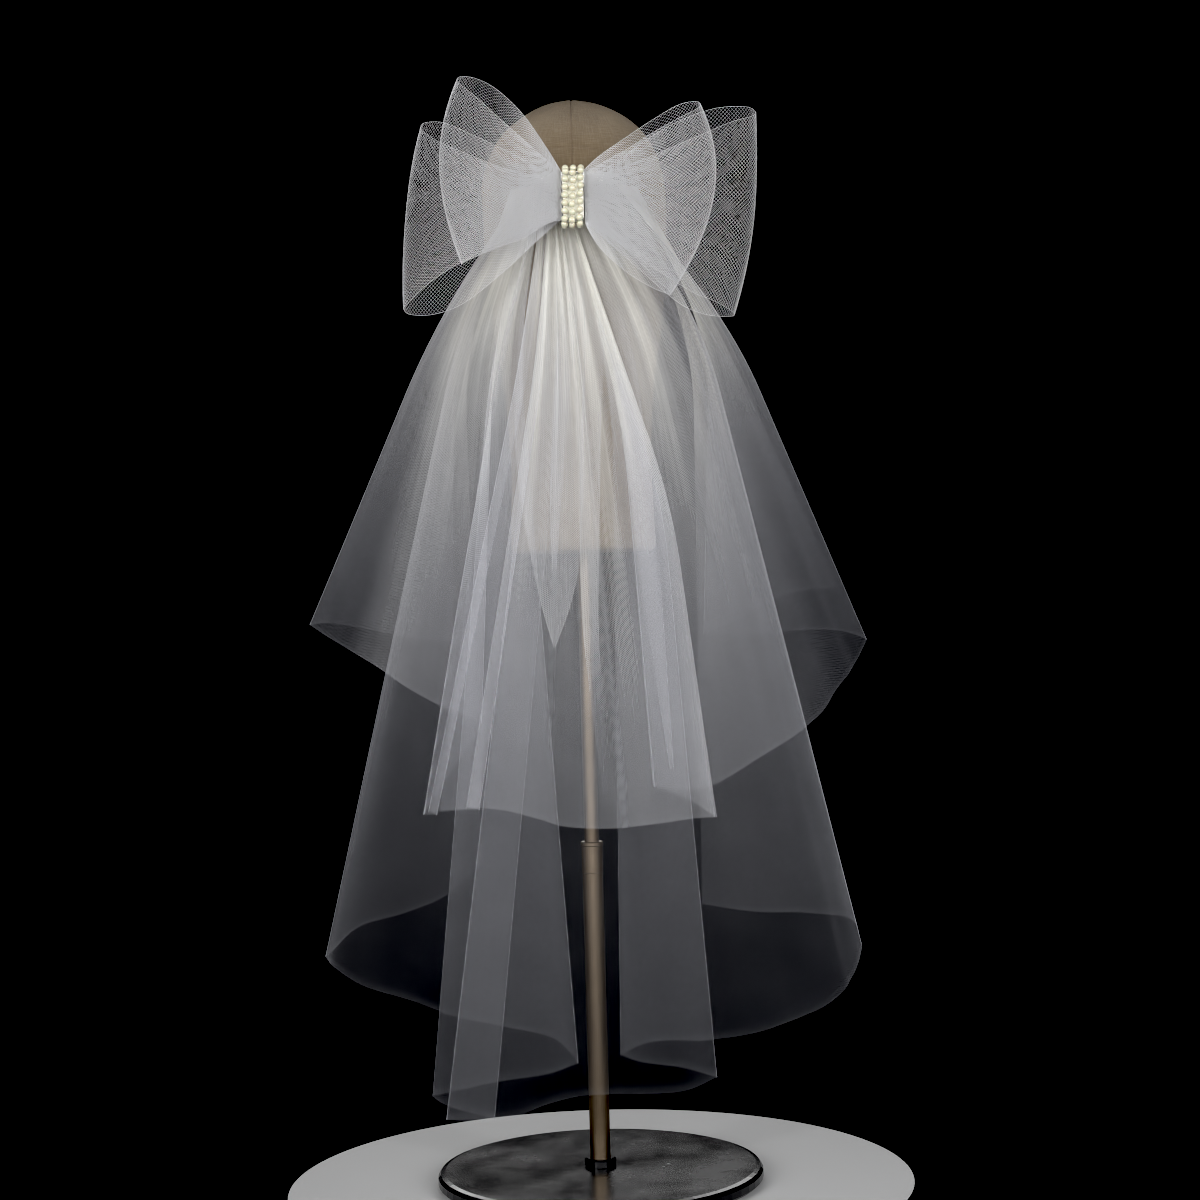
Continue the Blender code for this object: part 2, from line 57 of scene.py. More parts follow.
def head_section(z):
    """Half width, half depth and centre y (m) of the head block at height z (m)."""
    rows = np.array(HEAD_SECTIONS, float) / 1000.0
    return [float(np.interp(z, rows[:, 0], rows[:, k])) for k in (1, 2, 3)]


def head_back(x, z):
    """y of the canvas at the back of the head, at x and height z (m)."""
    a, b, yc = head_section(z)
    return yc - b * math.sqrt(max(0.0, 1.0 - (x / a) ** 2))


# Folds of each tier, from its left free edge to its right one, in millimetres:
# name, x at the gather, outward offset there, shoulder x y z, hem x y z, sharpness, in the plain solid
SHORT_FOLDS = [
    ("edge_l", -51.5, 0, -108, -6, 724, -122, 88, 470, 0, 1),
    ("far_l2", -48.5, 1.5, -111, -12, 726, -157, 74, 474, 0, 0),
    ("far_l1", -45.5, -1.5, -114, -18, 730, -190, 46, 481, 0, 1),
    ("far_l0", -43, 1.5, -116, -26, 734, -219, 14, 488, 0, 0),
    ("tip_l", -40.5, -1.5, -122, -40, 737, -236, -20, 488, 1, 1),
    ("near_l0", -38, 1.5, -118, -58, 734, -219, -52, 479, 0, 0),
    ("near_l1", -36, -1.5, -108, -78, 732, -197, -86, 468, 0, 1),
    ("near_l2", -34, 1.5, -98, -96, 729, -170, -116, 453, 0, 0),
    ("near_l3", -32, -1.5, -87, -112, 727, -147, -138, 438, 0, 1),
    ("near_l4", -30, 1.5, -77, -124, 726, -117, -155, 422, 0, 0),
    ("inner_l", -28, 2.5, -66, -132, 724, -82, -163, 407, 1, 1),
    ("panel_l", -26, -2.5, -56, -145, 723, -128, -200, 339, 1, 1),
    ("a_r", -24.3, 1, -35, -143, 710, -121, -197, 339, 1, 0),
    ("a_b", -22.8, 2.5, -43, -139, 711, -127, -190, 341, 1, 0),
    ("b_l", -21.3, -2, -31, -145, 710, -92, -190, 342, 1, 1),
    ("b_r", -20.2, 1, -25, -143, 710, -87, -188, 341, 1, 0),
    ("b_b", -19.1, 2.5, -31, -139, 711, -97, -183, 343, 1, 0),
    ("c_1", -17.6, -2, -26, -145, 710, -64, -186, 339, 0, 1),
    ("c_2", -16.4, 2.5, -18, -141, 710, -41, -185, 332, 0, 0),
    ("c_3", -15.3, -2.5, -11, -148, 709, -22, -196, 327, 0, 1),
    ("c_4", -14.4, 2, -5, -143, 709, 0, -192, 324, 0, 0),
    ("ridge", -13.5, -3, 0, -150, 704, 23, -206, 325, 0.6, 1),
    ("c_5", -12.6, 2, 5, -144, 705, 35, -196, 325, 0, 0),
    ("c_6", -11.7, -2, 16, -148, 680, 58, -203, 328, 0, 1),
    ("c_7", -10.9, 1, 48, -154, 606, 84, -203, 331, 0, 0),
    ("panel_r", -10, -3, 73, -160, 581, 101, -198, 331, 1, 1),
    ("back_r", -8.3, 1.5, 48, -150, 607, 80, -180, 343, 0, 0),
    ("inner_r", -6.5, 3, 35, -141, 648, 53, -168, 354, 1, 1),
    ("near_r1", -4.5, -2, 50, -143, 680, 88, -166, 350, 0, 1),
    ("near_r2", -1.5, 2, 55, -137, 712, 114, -160, 360, 0, 0),
    ("near_r3", 2, -2.5, 60, -138, 720, 135, -152, 372, 0.4, 1),
    ("near_r4", 6, 2.5, 68, -130, 721, 156, -136, 382, 0, 0),
    ("near_r5", 11, -2, 78, -126, 721, 176, -124, 394, 0, 1),
    ("near_r6", 16, 2, 91, -110, 723, 195, -104, 408, 0, 0),
    ("near_r7", 22, -2, 107, -93, 724, 212, -82, 426, 0, 1),
    ("near_r8", 28, 2, 122, -68, 727, 229, -52, 445, 0, 0),
    ("tip_r", 34, -2, 131, -44, 733, 240, -20, 462, 1, 1),
    ("far_r1", 37.5, 1.5, 129, -33, 732, 224, 16, 470, 0, 0),
    ("far_r2", 41, -1.5, 125, -24, 732, 191, 56, 472, 0, 1),
    ("far_r3", 44, 1.5, 120, -17, 730, 150, 84, 469, 0, 0),
    ("far_r4", 47, 1.5, 114, -11, 728, 106, 104, 469, 1, 1),
    ("far_r5", 49, -1.5, 117, -5, 728, 137, 122, 482, 0, 0),
    ("far_r6", 51, 1.5, 120, -9, 730, 188, 116, 505, 0, 1),
    ("edge_r", 53, -1, 124, -13, 732, 229, 86, 510, 0, 1),
]
LONG_FOLDS = [
    ("edge_l", -51.5, 0, -99, 3, 716, -103, 132, 261, 0, 1),
    ("far_l3", -49, 1.5, -100, -3, 721, -136, 112, 236, 0, 0),
    ("far_l2", -46.5, -1.5, -101, -10, 728, -169, 84, 225, 0, 1),
    ("far_l1", -44, 1.5, -102, -18, 734, -207, 38, 220, 0, 0),
    ("tip_l", -41.5, -1.5, -103, -28, 739, -233, -20, 203, 1, 1),
    ("near_l0", -39, 1.5, -100, -43, 737, -218, -56, 198, 0, 0),
    ("near_l1", -36, -1.5, -92, -62, 734, -191, -84, 187, 0, 1),
    ("pleat_l", -33.5, 2.5, -81, -84, 722, -152, -100, 177, 0.4, 1),
    ("near_l2", -31, -1.5, -74, -94, 721, -123, -88, 163, 0, 0),
    ("near_l3", -29, 1.5, -66, -100, 720, -77, -70, 148, 0, 1),
    ("near_l4", -27, -1.5, -57, -105, 715, -35, -54, 133, 0, 0),
    ("inner_l", -25, 2, -47, -107, 710, -17, -34, 107, 1, 1),
    ("back_l1", -23.3, -1.5, -57, -113, 710, -41, -72, 107, 0, 0),
    ("back_l2", -21.6, 1.5, -63, -118, 710, -80, -104, 109, 0, 1),
    ("panel_l", -20, -2.5, -69, -124, 709, -133, -134, 105, 1, 1),
    ("p_1", -18.4, 1, -60, -125, 709, -124, -145, 101, 0, 0),
    ("strip_r", -16.9, 2, -15, -123, 667, -81, -156, 90, 1, 1),
    ("strip_l", -15.4, -2.5, -38, -131, 667, -120, -168, 93, 1, 1),
    ("p_2", -14, -1, -20, -131, 682, -74, -174, 93, 0, 0),
    ("p_3", -12.8, 2, -15, -126, 683, -42, -165, 102, 0, 1),
    ("p_4", -11.6, -2, -8, -131, 682, -15, -164, 108, 0, 0),
    ("p_5", -10.4, 2, -1, -126, 682, 11, -158, 108, 0, 1),
    ("p_6", -9.2, -2, 10, -131, 673, 38, -157, 107, 0, 0),
    ("p_7", -8, 1, 37, -131, 640, 70, -146, 106, 0, 1),
    ("panel_r", -6.8, -2.5, 66, -131, 583, 98, -116, 110, 1, 1),
    ("back_r1", -5.2, 1.5, 49, -124, 608, 70, -84, 112, 0, 0),
    ("back_r2", -3.6, -1.5, 37, -118, 633, 38, -58, 112, 0, 1),
    ("inner_r", -2, 2.5, 27, -112, 667, 19, -34, 114, 1, 1),
    ("near_r1", 1, -1.5, 39, -114, 691, 45, -50, 128, 0, 0),
    ("near_r2", 5, 1.5, 50, -111, 711, 90, -78, 133, 0, 1),
    ("near_r3", 10, -1.5, 58, -113, 719, 133, -100, 143, 0, 0),
    ("near_r4", 16, 2.5, 69, -103, 724, 168, -104, 154, 0.4, 1),
    ("near_r5", 22, -1.5, 82, -92, 725, 196, -88, 165, 0, 0),
    ("near_r6", 28, 1.5, 96, -70, 727, 219, -58, 181, 0, 1),
    ("tip_r", 33.5, -1.5, 109, -40, 734, 232, -18, 199, 1, 1),
    ("far_r1", 38, 1.5, 107, -26, 733, 227, 22, 217, 0, 0),
    ("far_r2", 42, -1.5, 106, -16, 731, 195, 62, 217, 0, 1),
    ("far_r3", 46, 1.5, 103, -7, 726, 149, 94, 216, 0, 0),
    ("edge_r", 50.5, 0, 101, 1, 719, 101, 122, 221, 0, 1),
]
EASE = 0.055              # half height over which a fold bends at its shoulder


def fold_point(row, off, v):
    """A fold's point at fraction v of the way from the gather (0) to the hem (1)."""
    _, tx, tout, sx, sy, sz, hx, hy, hz = row[:9]
    tx, sx, sy, sz, hx, hy, hz = (q / 1000.0 for q in (tx, sx, sy, sz, hx, hy, hz))
    ty = head_back(tx, GATHER_Z) - off + tout / 1000.0
    z = GATHER_Z + (hz - GATHER_Z) * v
    out = []
    ease = min(EASE, 0.9 * (GATHER_Z - sz), 0.9 * (sz - hz))
    for t, s, h in ((tx, sx, hx), (ty, sy, hy)):
        up, low = (t - s) / (GATHER_Z - sz), (s - h) / (sz - hz)
        k = z - sz
        if k <= -ease:
            out.append(s + low * k)
        elif k >= ease:
            out.append(s + up * k)
        else:
            out.append(s + low * k + (up - low) * (k + ease) ** 2 / (4 * ease))
    return np.array([out[0], out[1], z])


def tier_grid(folds, off, levels, per_span, plain):
    """Points [level, column] of a tier: folds joined by curves, sharp at creases."""
    rows = [r for r in folds if r[10] or not plain]
    sharp = np.array([r[9] for r in rows], float)
    grid, us = [], []
    for v in levels:
        p = np.array([fold_point(r, off, v) for r in rows])
        n = len(p)
        seg = p[1:] - p[:-1]
        left, right = np.zeros_like(p), np.zeros_like(p)
        for i in range(n):
            a = seg[i - 1] if i > 0 else seg[0]
            b = seg[i] if i < n - 1 else seg[-1]
            la, lb = np.linalg.norm(a), np.linalg.norm(b)
            mean = (a / la + b / lb) * 0.5
            left[i] = (1 - sharp[i]) * mean * la + sharp[i] * a
            right[i] = (1 - sharp[i]) * mean * lb + sharp[i] * b
        line = []
        for i in range(n - 1):
            k = per_span if np.ndim(per_span) == 0 else per_span[i]
            for j in range(k):
                t = j / k
                h00, h10 = 2 * t**3 - 3 * t**2 + 1, t**3 - 2 * t**2 + t
                h01, h11 = -2 * t**3 + 3 * t**2, t**3 - t**2
                line.append(h00 * p[i] + h10 * right[i] + h01 * p[i + 1] + h11 * left[i + 1])
        line.append(p[-1])
        grid.append(line)
    return np.array(grid)

KNOT_X = (-0.0080, 0.0088)             # sides of the bow's knot
# Ribbon stations of each bow loop, in millimetres, from the knot round the fold and back to it:
# name, top x z, bottom x z, depth y, sideways swell, outward swell at the middle of the ribbon
LOOPS = {
    "front_left": [
        ("f0", -8.9, 848, -8.9, 808, -153.5, 0, 0),
        ("f1", -18.5, 864, -20, 805, -158, 0, -4),
        ("f2", -37.5, 891, -40, 792, -166, 0, -9),
        ("f3", -57.5, 910, -63, 784, -172, 0, -13),
        ("f4", -73.5, 918.5, -79, 776.5, -175, 0, -15),
        ("f5", -85.5, 920.5, -89, 772, -174, -8, -16),
        ("fold", -88.5, 919.5, -90.5, 772.5, -168, -14.5, -7),
        ("b5", -86.5, 917.5, -89, 775, -162, -9.5, 2),
        ("b4", -73.5, 907, -77.5, 782.5, -157, 0, 3),
        ("b3", -56.5, 891, -60, 791, -154, 0, 2),
        ("b2", -37, 873.5, -39, 800, -151, 0, 1),
        ("b0", -8.9, 847, -8.9, 810, -147.5, 0, 0),
    ],
    "back_left": [
        ("f0", -8.9, 844, -8.9, 811, -141.5, 0, 0),
        ("f1", -25.5, 852, -27, 796, -143.5, 0, -1),
        ("f2", -49.5, 865, -56, 770, -146.5, 0, -3),
        ("f3", -77, 878.5, -88, 745.5, -148, 0, -5),
        ("f4", -101, 890, -112.5, 736.5, -146, 0, -7),
        ("f5", -116, 892.5, -133, 737.5, -138, -5, -8),
        ("fold", -120.5, 891, -139.5, 743.5, -130, -7, -3),
        ("b5", -119, 888.5, -136.5, 749, -122, -4, 4),
        ("b4", -107.5, 881, -118.5, 766.5, -117, 0, 5),
        ("b3", -83, 869, -92, 781.5, -121, 0, 4),
        ("b2", -50.5, 854, -53.5, 794, -130, 0, 2),
        ("b0", -8.9, 843.5, -8.9, 814, -135.5, 0, 0),
    ],
    "front_right": [
        ("f0", 9.7, 848, 9.7, 805, -153.5, 0, 0),
        ("f1", 23, 858.5, 21, 784.5, -158, 0, -4),
        ("f2", 43, 870, 40, 764, -166, 0, -9),
        ("f3", 63, 881.5, 59.5, 750, -172, 0, -13),
        ("f4", 85, 893, 70.5, 744.5, -175, 5, -15),
        ("f5", 98.5, 896, 75, 743, -174, 13.5, -16),
        ("fold", 103.5, 895.5, 77, 744, -168, 21, -7),
        ("b5", 101.5, 893, 75, 748, -162, 14.5, 2),
        ("b4", 86, 886.5, 68, 755, -157, 5, 3),
        ("b3", 65, 876, 56.5, 768, -154, 0, 2),
        ("b2", 43, 863.5, 38.5, 786.5, -151, 0, 1),
        ("b0", 9.7, 847, 9.7, 808, -147.5, 0, 0),
    ],
    "back_right": [
        ("f0", 9.7, 843.5, 9.7, 809, -141.5, 0, 0),
        ("f1", 31, 853, 30.5, 788.5, -143.5, 0, -1),
        ("f2", 59.5, 872, 56.5, 763.5, -146.5, 0, -3),
        ("f3", 88, 887, 84, 739, -148, 0, -5),
        ("f4", 116.5, 896.5, 104.5, 730, -146, 0, -7),
        ("f5", 142, 899, 122, 729, -138, 4, -8),
        ("fold", 151.5, 896, 128, 731, -130, 6.5, -3),
        ("b5", 148, 894, 126.5, 735.5, -122, 4, 4),
        ("b4", 130, 890.5, 111.5, 745.5, -117, 0, 5),
        ("b3", 101, 878.5, 93.5, 753, -121, 0, 4),
        ("b2", 55.5, 859, 49, 782, -130, 0, 2),
        ("b0", 9.7, 843, 9.7, 812.5, -135.5, 0, 0),
    ],
}

# Pearl strands over the knot: name, x at the top, x at the bottom (mm)
STRANDS = [("left", -5.2, -7.0), ("middle", 1.0, -0.9), ("right", 7.2, 5.2)]

# Knot outline in the y-z plane (mm), front edge rounded, back edge following the gathers
KNOT_FRONT, KNOT_TOP, KNOT_BOTTOM = -156.0, 846.5, 808.5



def loop_grid(stations, along, across):
    """Points [across, along] of a bow loop's ribbon."""
    p = np.array([s[1:] for s in stations], float) / 1000.0
    n = len(p)
    t = np.linspace(0, n - 1, along)
    i = np.clip(t.astype(int), 0, n - 2)
    f = (t - i)[:, None]
    prev, nxt = p[np.clip(i - 1, 0, n - 1)], p[np.clip(i + 2, 0, n - 1)]
    m0, m1 = (p[i + 1] - prev) / 2, (nxt - p[i]) / 2
    q = (2 * f**3 - 3 * f**2 + 1) * p[i] + (f**3 - 2 * f**2 + f) * m0
    q += (-2 * f**3 + 3 * f**2) * p[i + 1] + (f**3 - f**2) * m1
    out = []
    for w in np.linspace(-1, 1, across):
        k = (w + 1) / 2
        swell = 1 - w * w
        x = q[:, 2] + (q[:, 0] - q[:, 2]) * k + q[:, 5] * swell
        z = q[:, 3] + (q[:, 1] - q[:, 3]) * k
        y = q[:, 4] + q[:, 6] * swell
        out.append(np.stack([x, y, z], axis=1))
    return np.array(out)


def knot_outline():
    """The knot's outline in y and z (m), counter-clockwise from its back top."""
    r, steps = 4.5, 4
    pts = [(-101.8, 848.6), (-101.8, 855.5), (-122.0, 853.4), (-132.5, KNOT_TOP + 0.6)]
    centre = (KNOT_FRONT + r, KNOT_TOP - r)
    pts += [(centre[0] - r * math.sin(a), centre[1] + r * math.cos(a))
            for a in (math.pi / 2 * k / steps for k in range(steps + 1))]
    centre = (KNOT_FRONT + r, KNOT_BOTTOM + r)
    pts += [(centre[0] - r * math.cos(a), centre[1] - r * math.sin(a))
            for a in (math.pi / 2 * k / steps for k in range(steps + 1))]
    pts += [(-129.5, KNOT_BOTTOM + 1.0), (-123.0, 843.0), (-121.8, 848.6)]
    return [(y / 1000.0, z / 1000.0) for y, z in pts]


def strand_path(x_top, x_bottom, r):
    """The way a strand of pearls takes over the front of the knot."""
    front = KNOT_FRONT / 1000.0 - r - 0.0004
    top, bottom = KNOT_TOP / 1000.0 + r + 0.0004, KNOT_BOTTOM / 1000.0 - r - 0.0004
    turn = 0.0045 + r
    pts = [(-0.1400, top)]
    for k in range(7):
        a = math.pi / 2 * k / 6
        pts.append((front + turn - turn * math.sin(a), top - turn + turn * math.cos(a)))
    for k in range(1, 6):
        pts.append((front, top - turn + (bottom - top + 2 * turn) * k / 6))
    for k in range(7):
        a = math.pi / 2 * k / 6
        pts.append((front + turn - turn * math.cos(a), bottom + turn - turn * math.sin(a)))
    pts.append((-0.1400, bottom))
    out = []
    for y, z in pts:
        k = (top - z) / (top - bottom)
        out.append(((x_top + (x_bottom - x_top) * k) / 1000.0, y, z))
    return out



# ---------------------------------------------------------------- mesh helpers
def mesh_object(name, verts, faces, mat, smooth=True):
    mesh = bpy.data.meshes.new(name)
    verts = np.asarray(verts, np.float32).reshape(-1, 3)
    faces = np.asarray(faces, np.int32)
    n, k = faces.shape
    mesh.vertices.add(len(verts))
    mesh.vertices.foreach_set("co", verts.ravel())
    mesh.loops.add(n * k)
    mesh.loops.foreach_set("vertex_index", faces.ravel())
    mesh.polygons.add(n)
    mesh.polygons.foreach_set("loop_start", np.arange(0, n * k, k, dtype=np.int32))
    mesh.polygons.foreach_set("loop_total", np.full(n, k, np.int32))
    mesh.polygons.foreach_set("use_smooth", np.full(n, smooth, bool))
    mesh.update(calc_edges=True)
    mesh.validate()
    mesh.materials.append(mat)
    obj = bpy.data.objects.new(name, mesh)
    bpy.context.scene.collection.objects.link(obj)
    return obj


def grid_faces(rows, cols, wrap=False):
    i = np.arange(rows - 1)[:, None] * cols
    j = np.arange(cols if wrap else cols - 1)[None, :]
    k = (j + 1) % cols
    return np.stack([i + j, i + k, i + cols + k, i + cols + j], axis=-1).reshape(-1, 4)


def set_float(mesh, name, values):
    mesh.attributes.new(name, "FLOAT", "POINT").data.foreach_set("value", np.asarray(values, np.float32).ravel())


def set_uv(mesh, uv):
    """UV from a per-vertex array [vertex, 2], in metres of flat cloth."""
    layer = mesh.uv_layers.new(name="cloth")
    index = np.zeros(len(mesh.loops), np.int32)
    mesh.loops.foreach_get("vertex_index", index)
    layer.data.foreach_set("uv", np.asarray(uv, np.float32)[index].ravel())


def smooth01(t):
    t = np.clip(t, 0.0, 1.0)
    return t * t * (3 - 2 * t)


def grid_normals(g):
    du, dv = np.gradient(g, axis=1), np.gradient(g, axis=0)
    n = np.cross(du, dv)
    return n / np.maximum(np.linalg.norm(n, axis=2, keepdims=True), 1e-12)


def tubes(name, lines, radius, sides, mat, phase=0.0, deep=None):
    """Open tubes along polylines, joined in one mesh. radius is one number, or an array for each line with a
    number at each of its points; deep is the radius towards the front and the back, where it differs."""
    verts, faces, base = [], [], 0
    ang = 2 * math.pi * np.arange(sides) / sides + phase
    for k, line in enumerate(lines):
        p = np.asarray(line, float)
        t = np.gradient(p, axis=0)
        t /= np.maximum(np.linalg.norm(t, axis=1, keepdims=True), 1e-12)
        up = np.tile([0.0, -1.0, 0.0], (len(p), 1))
        flat = np.abs(t[:, 1]) > 0.95
        up[flat] = [1.0, 0.0, 0.0]
        a = np.cross(t, up)
        a /= np.linalg.norm(a, axis=1, keepdims=True)
        b = np.cross(t, a)
        ra = np.broadcast_to(radius[k] if isinstance(radius, list) else radius, (len(p),))[:, None, None]
        rb = ra if deep is None else np.maximum(deep, ra)
        ring = p[:, None] + ra * np.cos(ang)[None, :, None] * a[:, None] + rb * np.sin(ang)[None, :, None] * b[:, None]
        verts.append(ring.reshape(-1, 3))
        faces.append(grid_faces(len(p), sides, wrap=True) + base)
        base += len(p) * sides
    return mesh_object(name, np.concatenate(verts), np.concatenate(faces), mat)


# ---------------------------------------------------------------- material helpers
class Nodes:
    """A short way to write a node tree."""

    def __init__(self, name):
        self.mat = bpy.data.materials.new(name)
        self.mat.use_nodes = True
        self.tree = self.mat.node_tree
        self.tree.nodes.clear()
        self.out = self.tree.nodes.new("ShaderNodeOutputMaterial")

    def new(self, kind, **inputs):
        node = self.tree.nodes.new(kind)
        for key, value in inputs.items():
            self.put(node, key.replace("_", " "), value)
        return node

    def put(self, node, key, value):
        socket = node.inputs[int(key)] if key.isdigit() else node.inputs[key]
        if isinstance(value, bpy.types.NodeSocket):
            self.tree.links.new(value, socket)
        else:
            socket.default_value = value

    def math(self, op, *args, clamp=False):
        node = self.tree.nodes.new("ShaderNodeMath")
        node.operation, node.use_clamp = op, clamp
        for i, a in enumerate(args):
            self.put(node, str(i), a)
        return node.outputs[0]

    def vector(self, op, *args):
        node = self.tree.nodes.new("ShaderNodeVectorMath")
        node.operation = op
        for i, a in enumerate(args):
            self.put(node, str(i), a)
        return node.outputs["Value"] if op in ("DOT_PRODUCT", "LENGTH") else node.outputs[0]

    def noise(self, vector, scale, detail=2.0, rough=0.5, **kw):
        node = self.tree.nodes.new("ShaderNodeTexNoise")
        self.put(node, "Vector", vector)
        node.inputs["Scale"].default_value = scale
        node.inputs["Detail"].default_value = detail
        node.inputs["Roughness"].default_value = rough
        return node.outputs[0]

    def range(self, value, a, b, c, d, smooth=False):
        node = self.tree.nodes.new("ShaderNodeMapRange")
        node.clamp = True
        if smooth:
            node.interpolation_type = "SMOOTHSTEP"
        for i, x in enumerate((value, a, b, c, d)):
            self.put(node, str(i), x)
        return node.outputs[0]

    def mix(self, factor, a, b):
        node = self.tree.nodes.new("ShaderNodeMix")
        node.data_type = "RGBA"
        self.put(node, "0", factor)
        for i, x in ((6, a), (7, b)):
            if isinstance(x, bpy.types.NodeSocket):
                self.tree.links.new(x, node.inputs[i])
            else:
                node.inputs[i].default_value = (*x, 1.0)
        return node.outputs[2]

    def attribute(self, name):
        node = self.tree.nodes.new("ShaderNodeAttribute")
        node.attribute_name = name
        return node.outputs["Fac"]

    def uv(self):
        node = self.tree.nodes.new("ShaderNodeUVMap")
        node.uv_map = "cloth"
        return node.outputs[0]

    def here(self):
        return self.tree.nodes.new("ShaderNodeTexCoord").outputs["Object"]

    def principled(self, **values):
        node = self.tree.nodes.new("ShaderNodeBsdfPrincipled")
        for key, value in values.items():
            name = key.replace("_", " ")
            if isinstance(value, tuple) and len(value) == 3:
                value = (*value, 1.0)
            self.put(node, name, value)
        return node

    def bump(self, height, strength, distance):
        node = self.tree.nodes.new("ShaderNodeBump")
        node.inputs["Strength"].default_value = strength
        node.inputs["Distance"].default_value = distance
        self.tree.links.new(height, node.inputs["Height"])
        return node.outputs[0]

    def finish(self, shader):
        self.tree.links.new(shader, self.out.inputs["Surface"])
        return self.mat


# Tulle: how much light one flat layer stops, and how fast that grows where it is gathered
TAU = 0.035
TAU_POWER = 1.70
NET = 0.0016               # distance between holes of the net (m)


def tulle_material(name):
    n = Nodes(name)
    uv = n.uv()
    dens = n.attribute("dens")
    hem = n.attribute("hem")
    # hexagonal net: three waves at 60 degrees
    k = 4 * math.pi / (math.sqrt(3) * NET)
    waves = []
    for a in (0.0, math.pi / 3, 2 * math.pi / 3):
        waves.append(n.math("COSINE", n.vector("DOT_PRODUCT", uv, (k * math.cos(a + 0.06), k * math.sin(a + 0.06), 0.0))))
    lattice = n.math("ADD", n.math("ADD", waves[0], waves[1]), waves[2])
    thread = n.range(lattice, -0.8, 1.4, 1.75, 0.15, smooth=True)
    # layers that lie on each other blur the net
    thread = n.math("MULTIPLY_ADD", n.math("SUBTRACT", thread, 1.0), n.range(dens, 1.2, 3.6, 1.0, 0.28), 1.0)
    # the yarn lies in faint streaks along the drop, and in slow uneven patches
    across = n.vector("MULTIPLY", uv, (1.0, 0.018, 0.0))
    streak_a = n.noise(across, 170.0, 3.0, 0.6)
    streak_b = n.noise(across, 620.0, 2.0, 0.55)
    streaks = n.math("ADD", n.math("MULTIPLY", n.range(streak_a, 0.25, 0.75, -1.0, 1.0), 0.62),
                     n.math("MULTIPLY", n.range(streak_b, 0.25, 0.75, -1.0, 1.0), 0.38))
    depth = n.range(dens, 1.0, 7.0, 0.14, 0.52)
    streaks = n.math("MULTIPLY_ADD", streaks, depth, 1.0)
    patch = n.range(n.noise(uv, 26.0, 3.0, 0.55), 0.2, 0.8, 0.86, 1.14)
    tau = n.math("MULTIPLY", n.math("POWER", dens, TAU_POWER), TAU)
    tau = n.math("MULTIPLY", n.math("MULTIPLY", tau, thread), n.math("MULTIPLY", streaks, patch))
    # painted highlight: the hems and side edges are made a little more opaque, so they show as faint bright lines
    tau = n.math("MULTIPLY_ADD", hem, 0.022, tau)
    # a sheet of threads covers more where it is seen edge on
    weight = n.tree.nodes.new("ShaderNodeLayerWeight")
    weight.inputs["Blend"].default_value = 0.5
    cosine = n.math("MAXIMUM", n.math("SUBTRACT", 1.0, weight.outputs["Facing"]), 0.10)
    alpha = n.math("SUBTRACT", 1.0, n.math("EXPONENT", n.math("MULTIPLY", n.math("DIVIDE", tau, cosine), -1.0)))
    # painted light: the same tulle is coloured cooler and a little darker where it lies in a thin layer, warmer and
    # brighter where it is gathered, standing in for how the layers catch the light
    colour = n.mix(n.range(dens, 1.2, 6.0, 0.0, 1.0), (0.80, 0.81, 0.87), (0.905, 0.895, 0.85))
    front = n.principled(Base_Color=colour, Roughness=0.75, Sheen_Weight=0.25, Sheen_Roughness=0.4)
    back = n.tree.nodes.new("ShaderNodeBsdfTranslucent")
    n.tree.links.new(colour, back.inputs[0])
    cloth = n.tree.nodes.new("ShaderNodeMixShader")
    cloth.inputs[0].default_value = 0.50
    n.tree.links.new(front.outputs[0], cloth.inputs[1])
    n.tree.links.new(back.outputs[0], cloth.inputs[2])
    clear = n.tree.nodes.new("ShaderNodeBsdfTransparent")
    see = n.tree.nodes.new("ShaderNodeMixShader")
    n.tree.links.new(alpha, see.inputs[0])
    n.tree.links.new(clear.outputs[0], see.inputs[1])
    n.tree.links.new(cloth.outputs[0], see.inputs[2])
    return n.finish(see.outputs[0])


def crin_material():
    n = Nodes("crin_net")
    here = n.here()
    spot = n.noise(here, 260.0, 3.0, 0.6)
    slow = n.noise(here, 22.0, 2.0, 0.5)
    colour = n.mix(n.range(slow, 0.3, 0.7, 0.0, 1.0), (0.86, 0.855, 0.865), (0.80, 0.80, 0.82))
    rough = n.range(spot, 0.2, 0.8, 0.42, 0.60)
    front = n.principled(Base_Color=colour, Roughness=rough, IOR=1.45, Specular_IOR_Level=0.30, Sheen_Weight=0.15)
    n.put(front, "Normal", n.bump(spot, 0.15, 0.0002))
    back = n.tree.nodes.new("ShaderNodeBsdfTranslucent")
    n.tree.links.new(colour, back.inputs[0])
    strand = n.tree.nodes.new("ShaderNodeMixShader")
    strand.inputs[0].default_value = 0.25
    n.tree.links.new(front.outputs[0], strand.inputs[1])
    n.tree.links.new(back.outputs[0], strand.inputs[2])
    return n.finish(strand.outputs[0])


def wrap_material():
    n = Nodes("wrap_satin")
    here = n.here()
    weave = n.tree.nodes.new("ShaderNodeTexWave")
    weave.bands_direction = "Z"
    weave.inputs["Scale"].default_value = 420.0
    weave.inputs["Distortion"].default_value = 1.2
    n.tree.links.new(here, weave.inputs["Vector"])
    mott = n.noise(here, 160.0, 3.0, 0.6)
    colour = n.mix(mott, (0.92, 0.90, 0.80), (0.87, 0.85, 0.75))
    front = n.principled(Base_Color=colour, Roughness=n.range(mott, 0.2, 0.8, 0.34, 0.5), Sheen_Weight=0.3)
    n.put(front, "Normal", n.bump(weave.outputs["Fac"], 0.25, 0.0003))
    return n.finish(front.outputs[0])


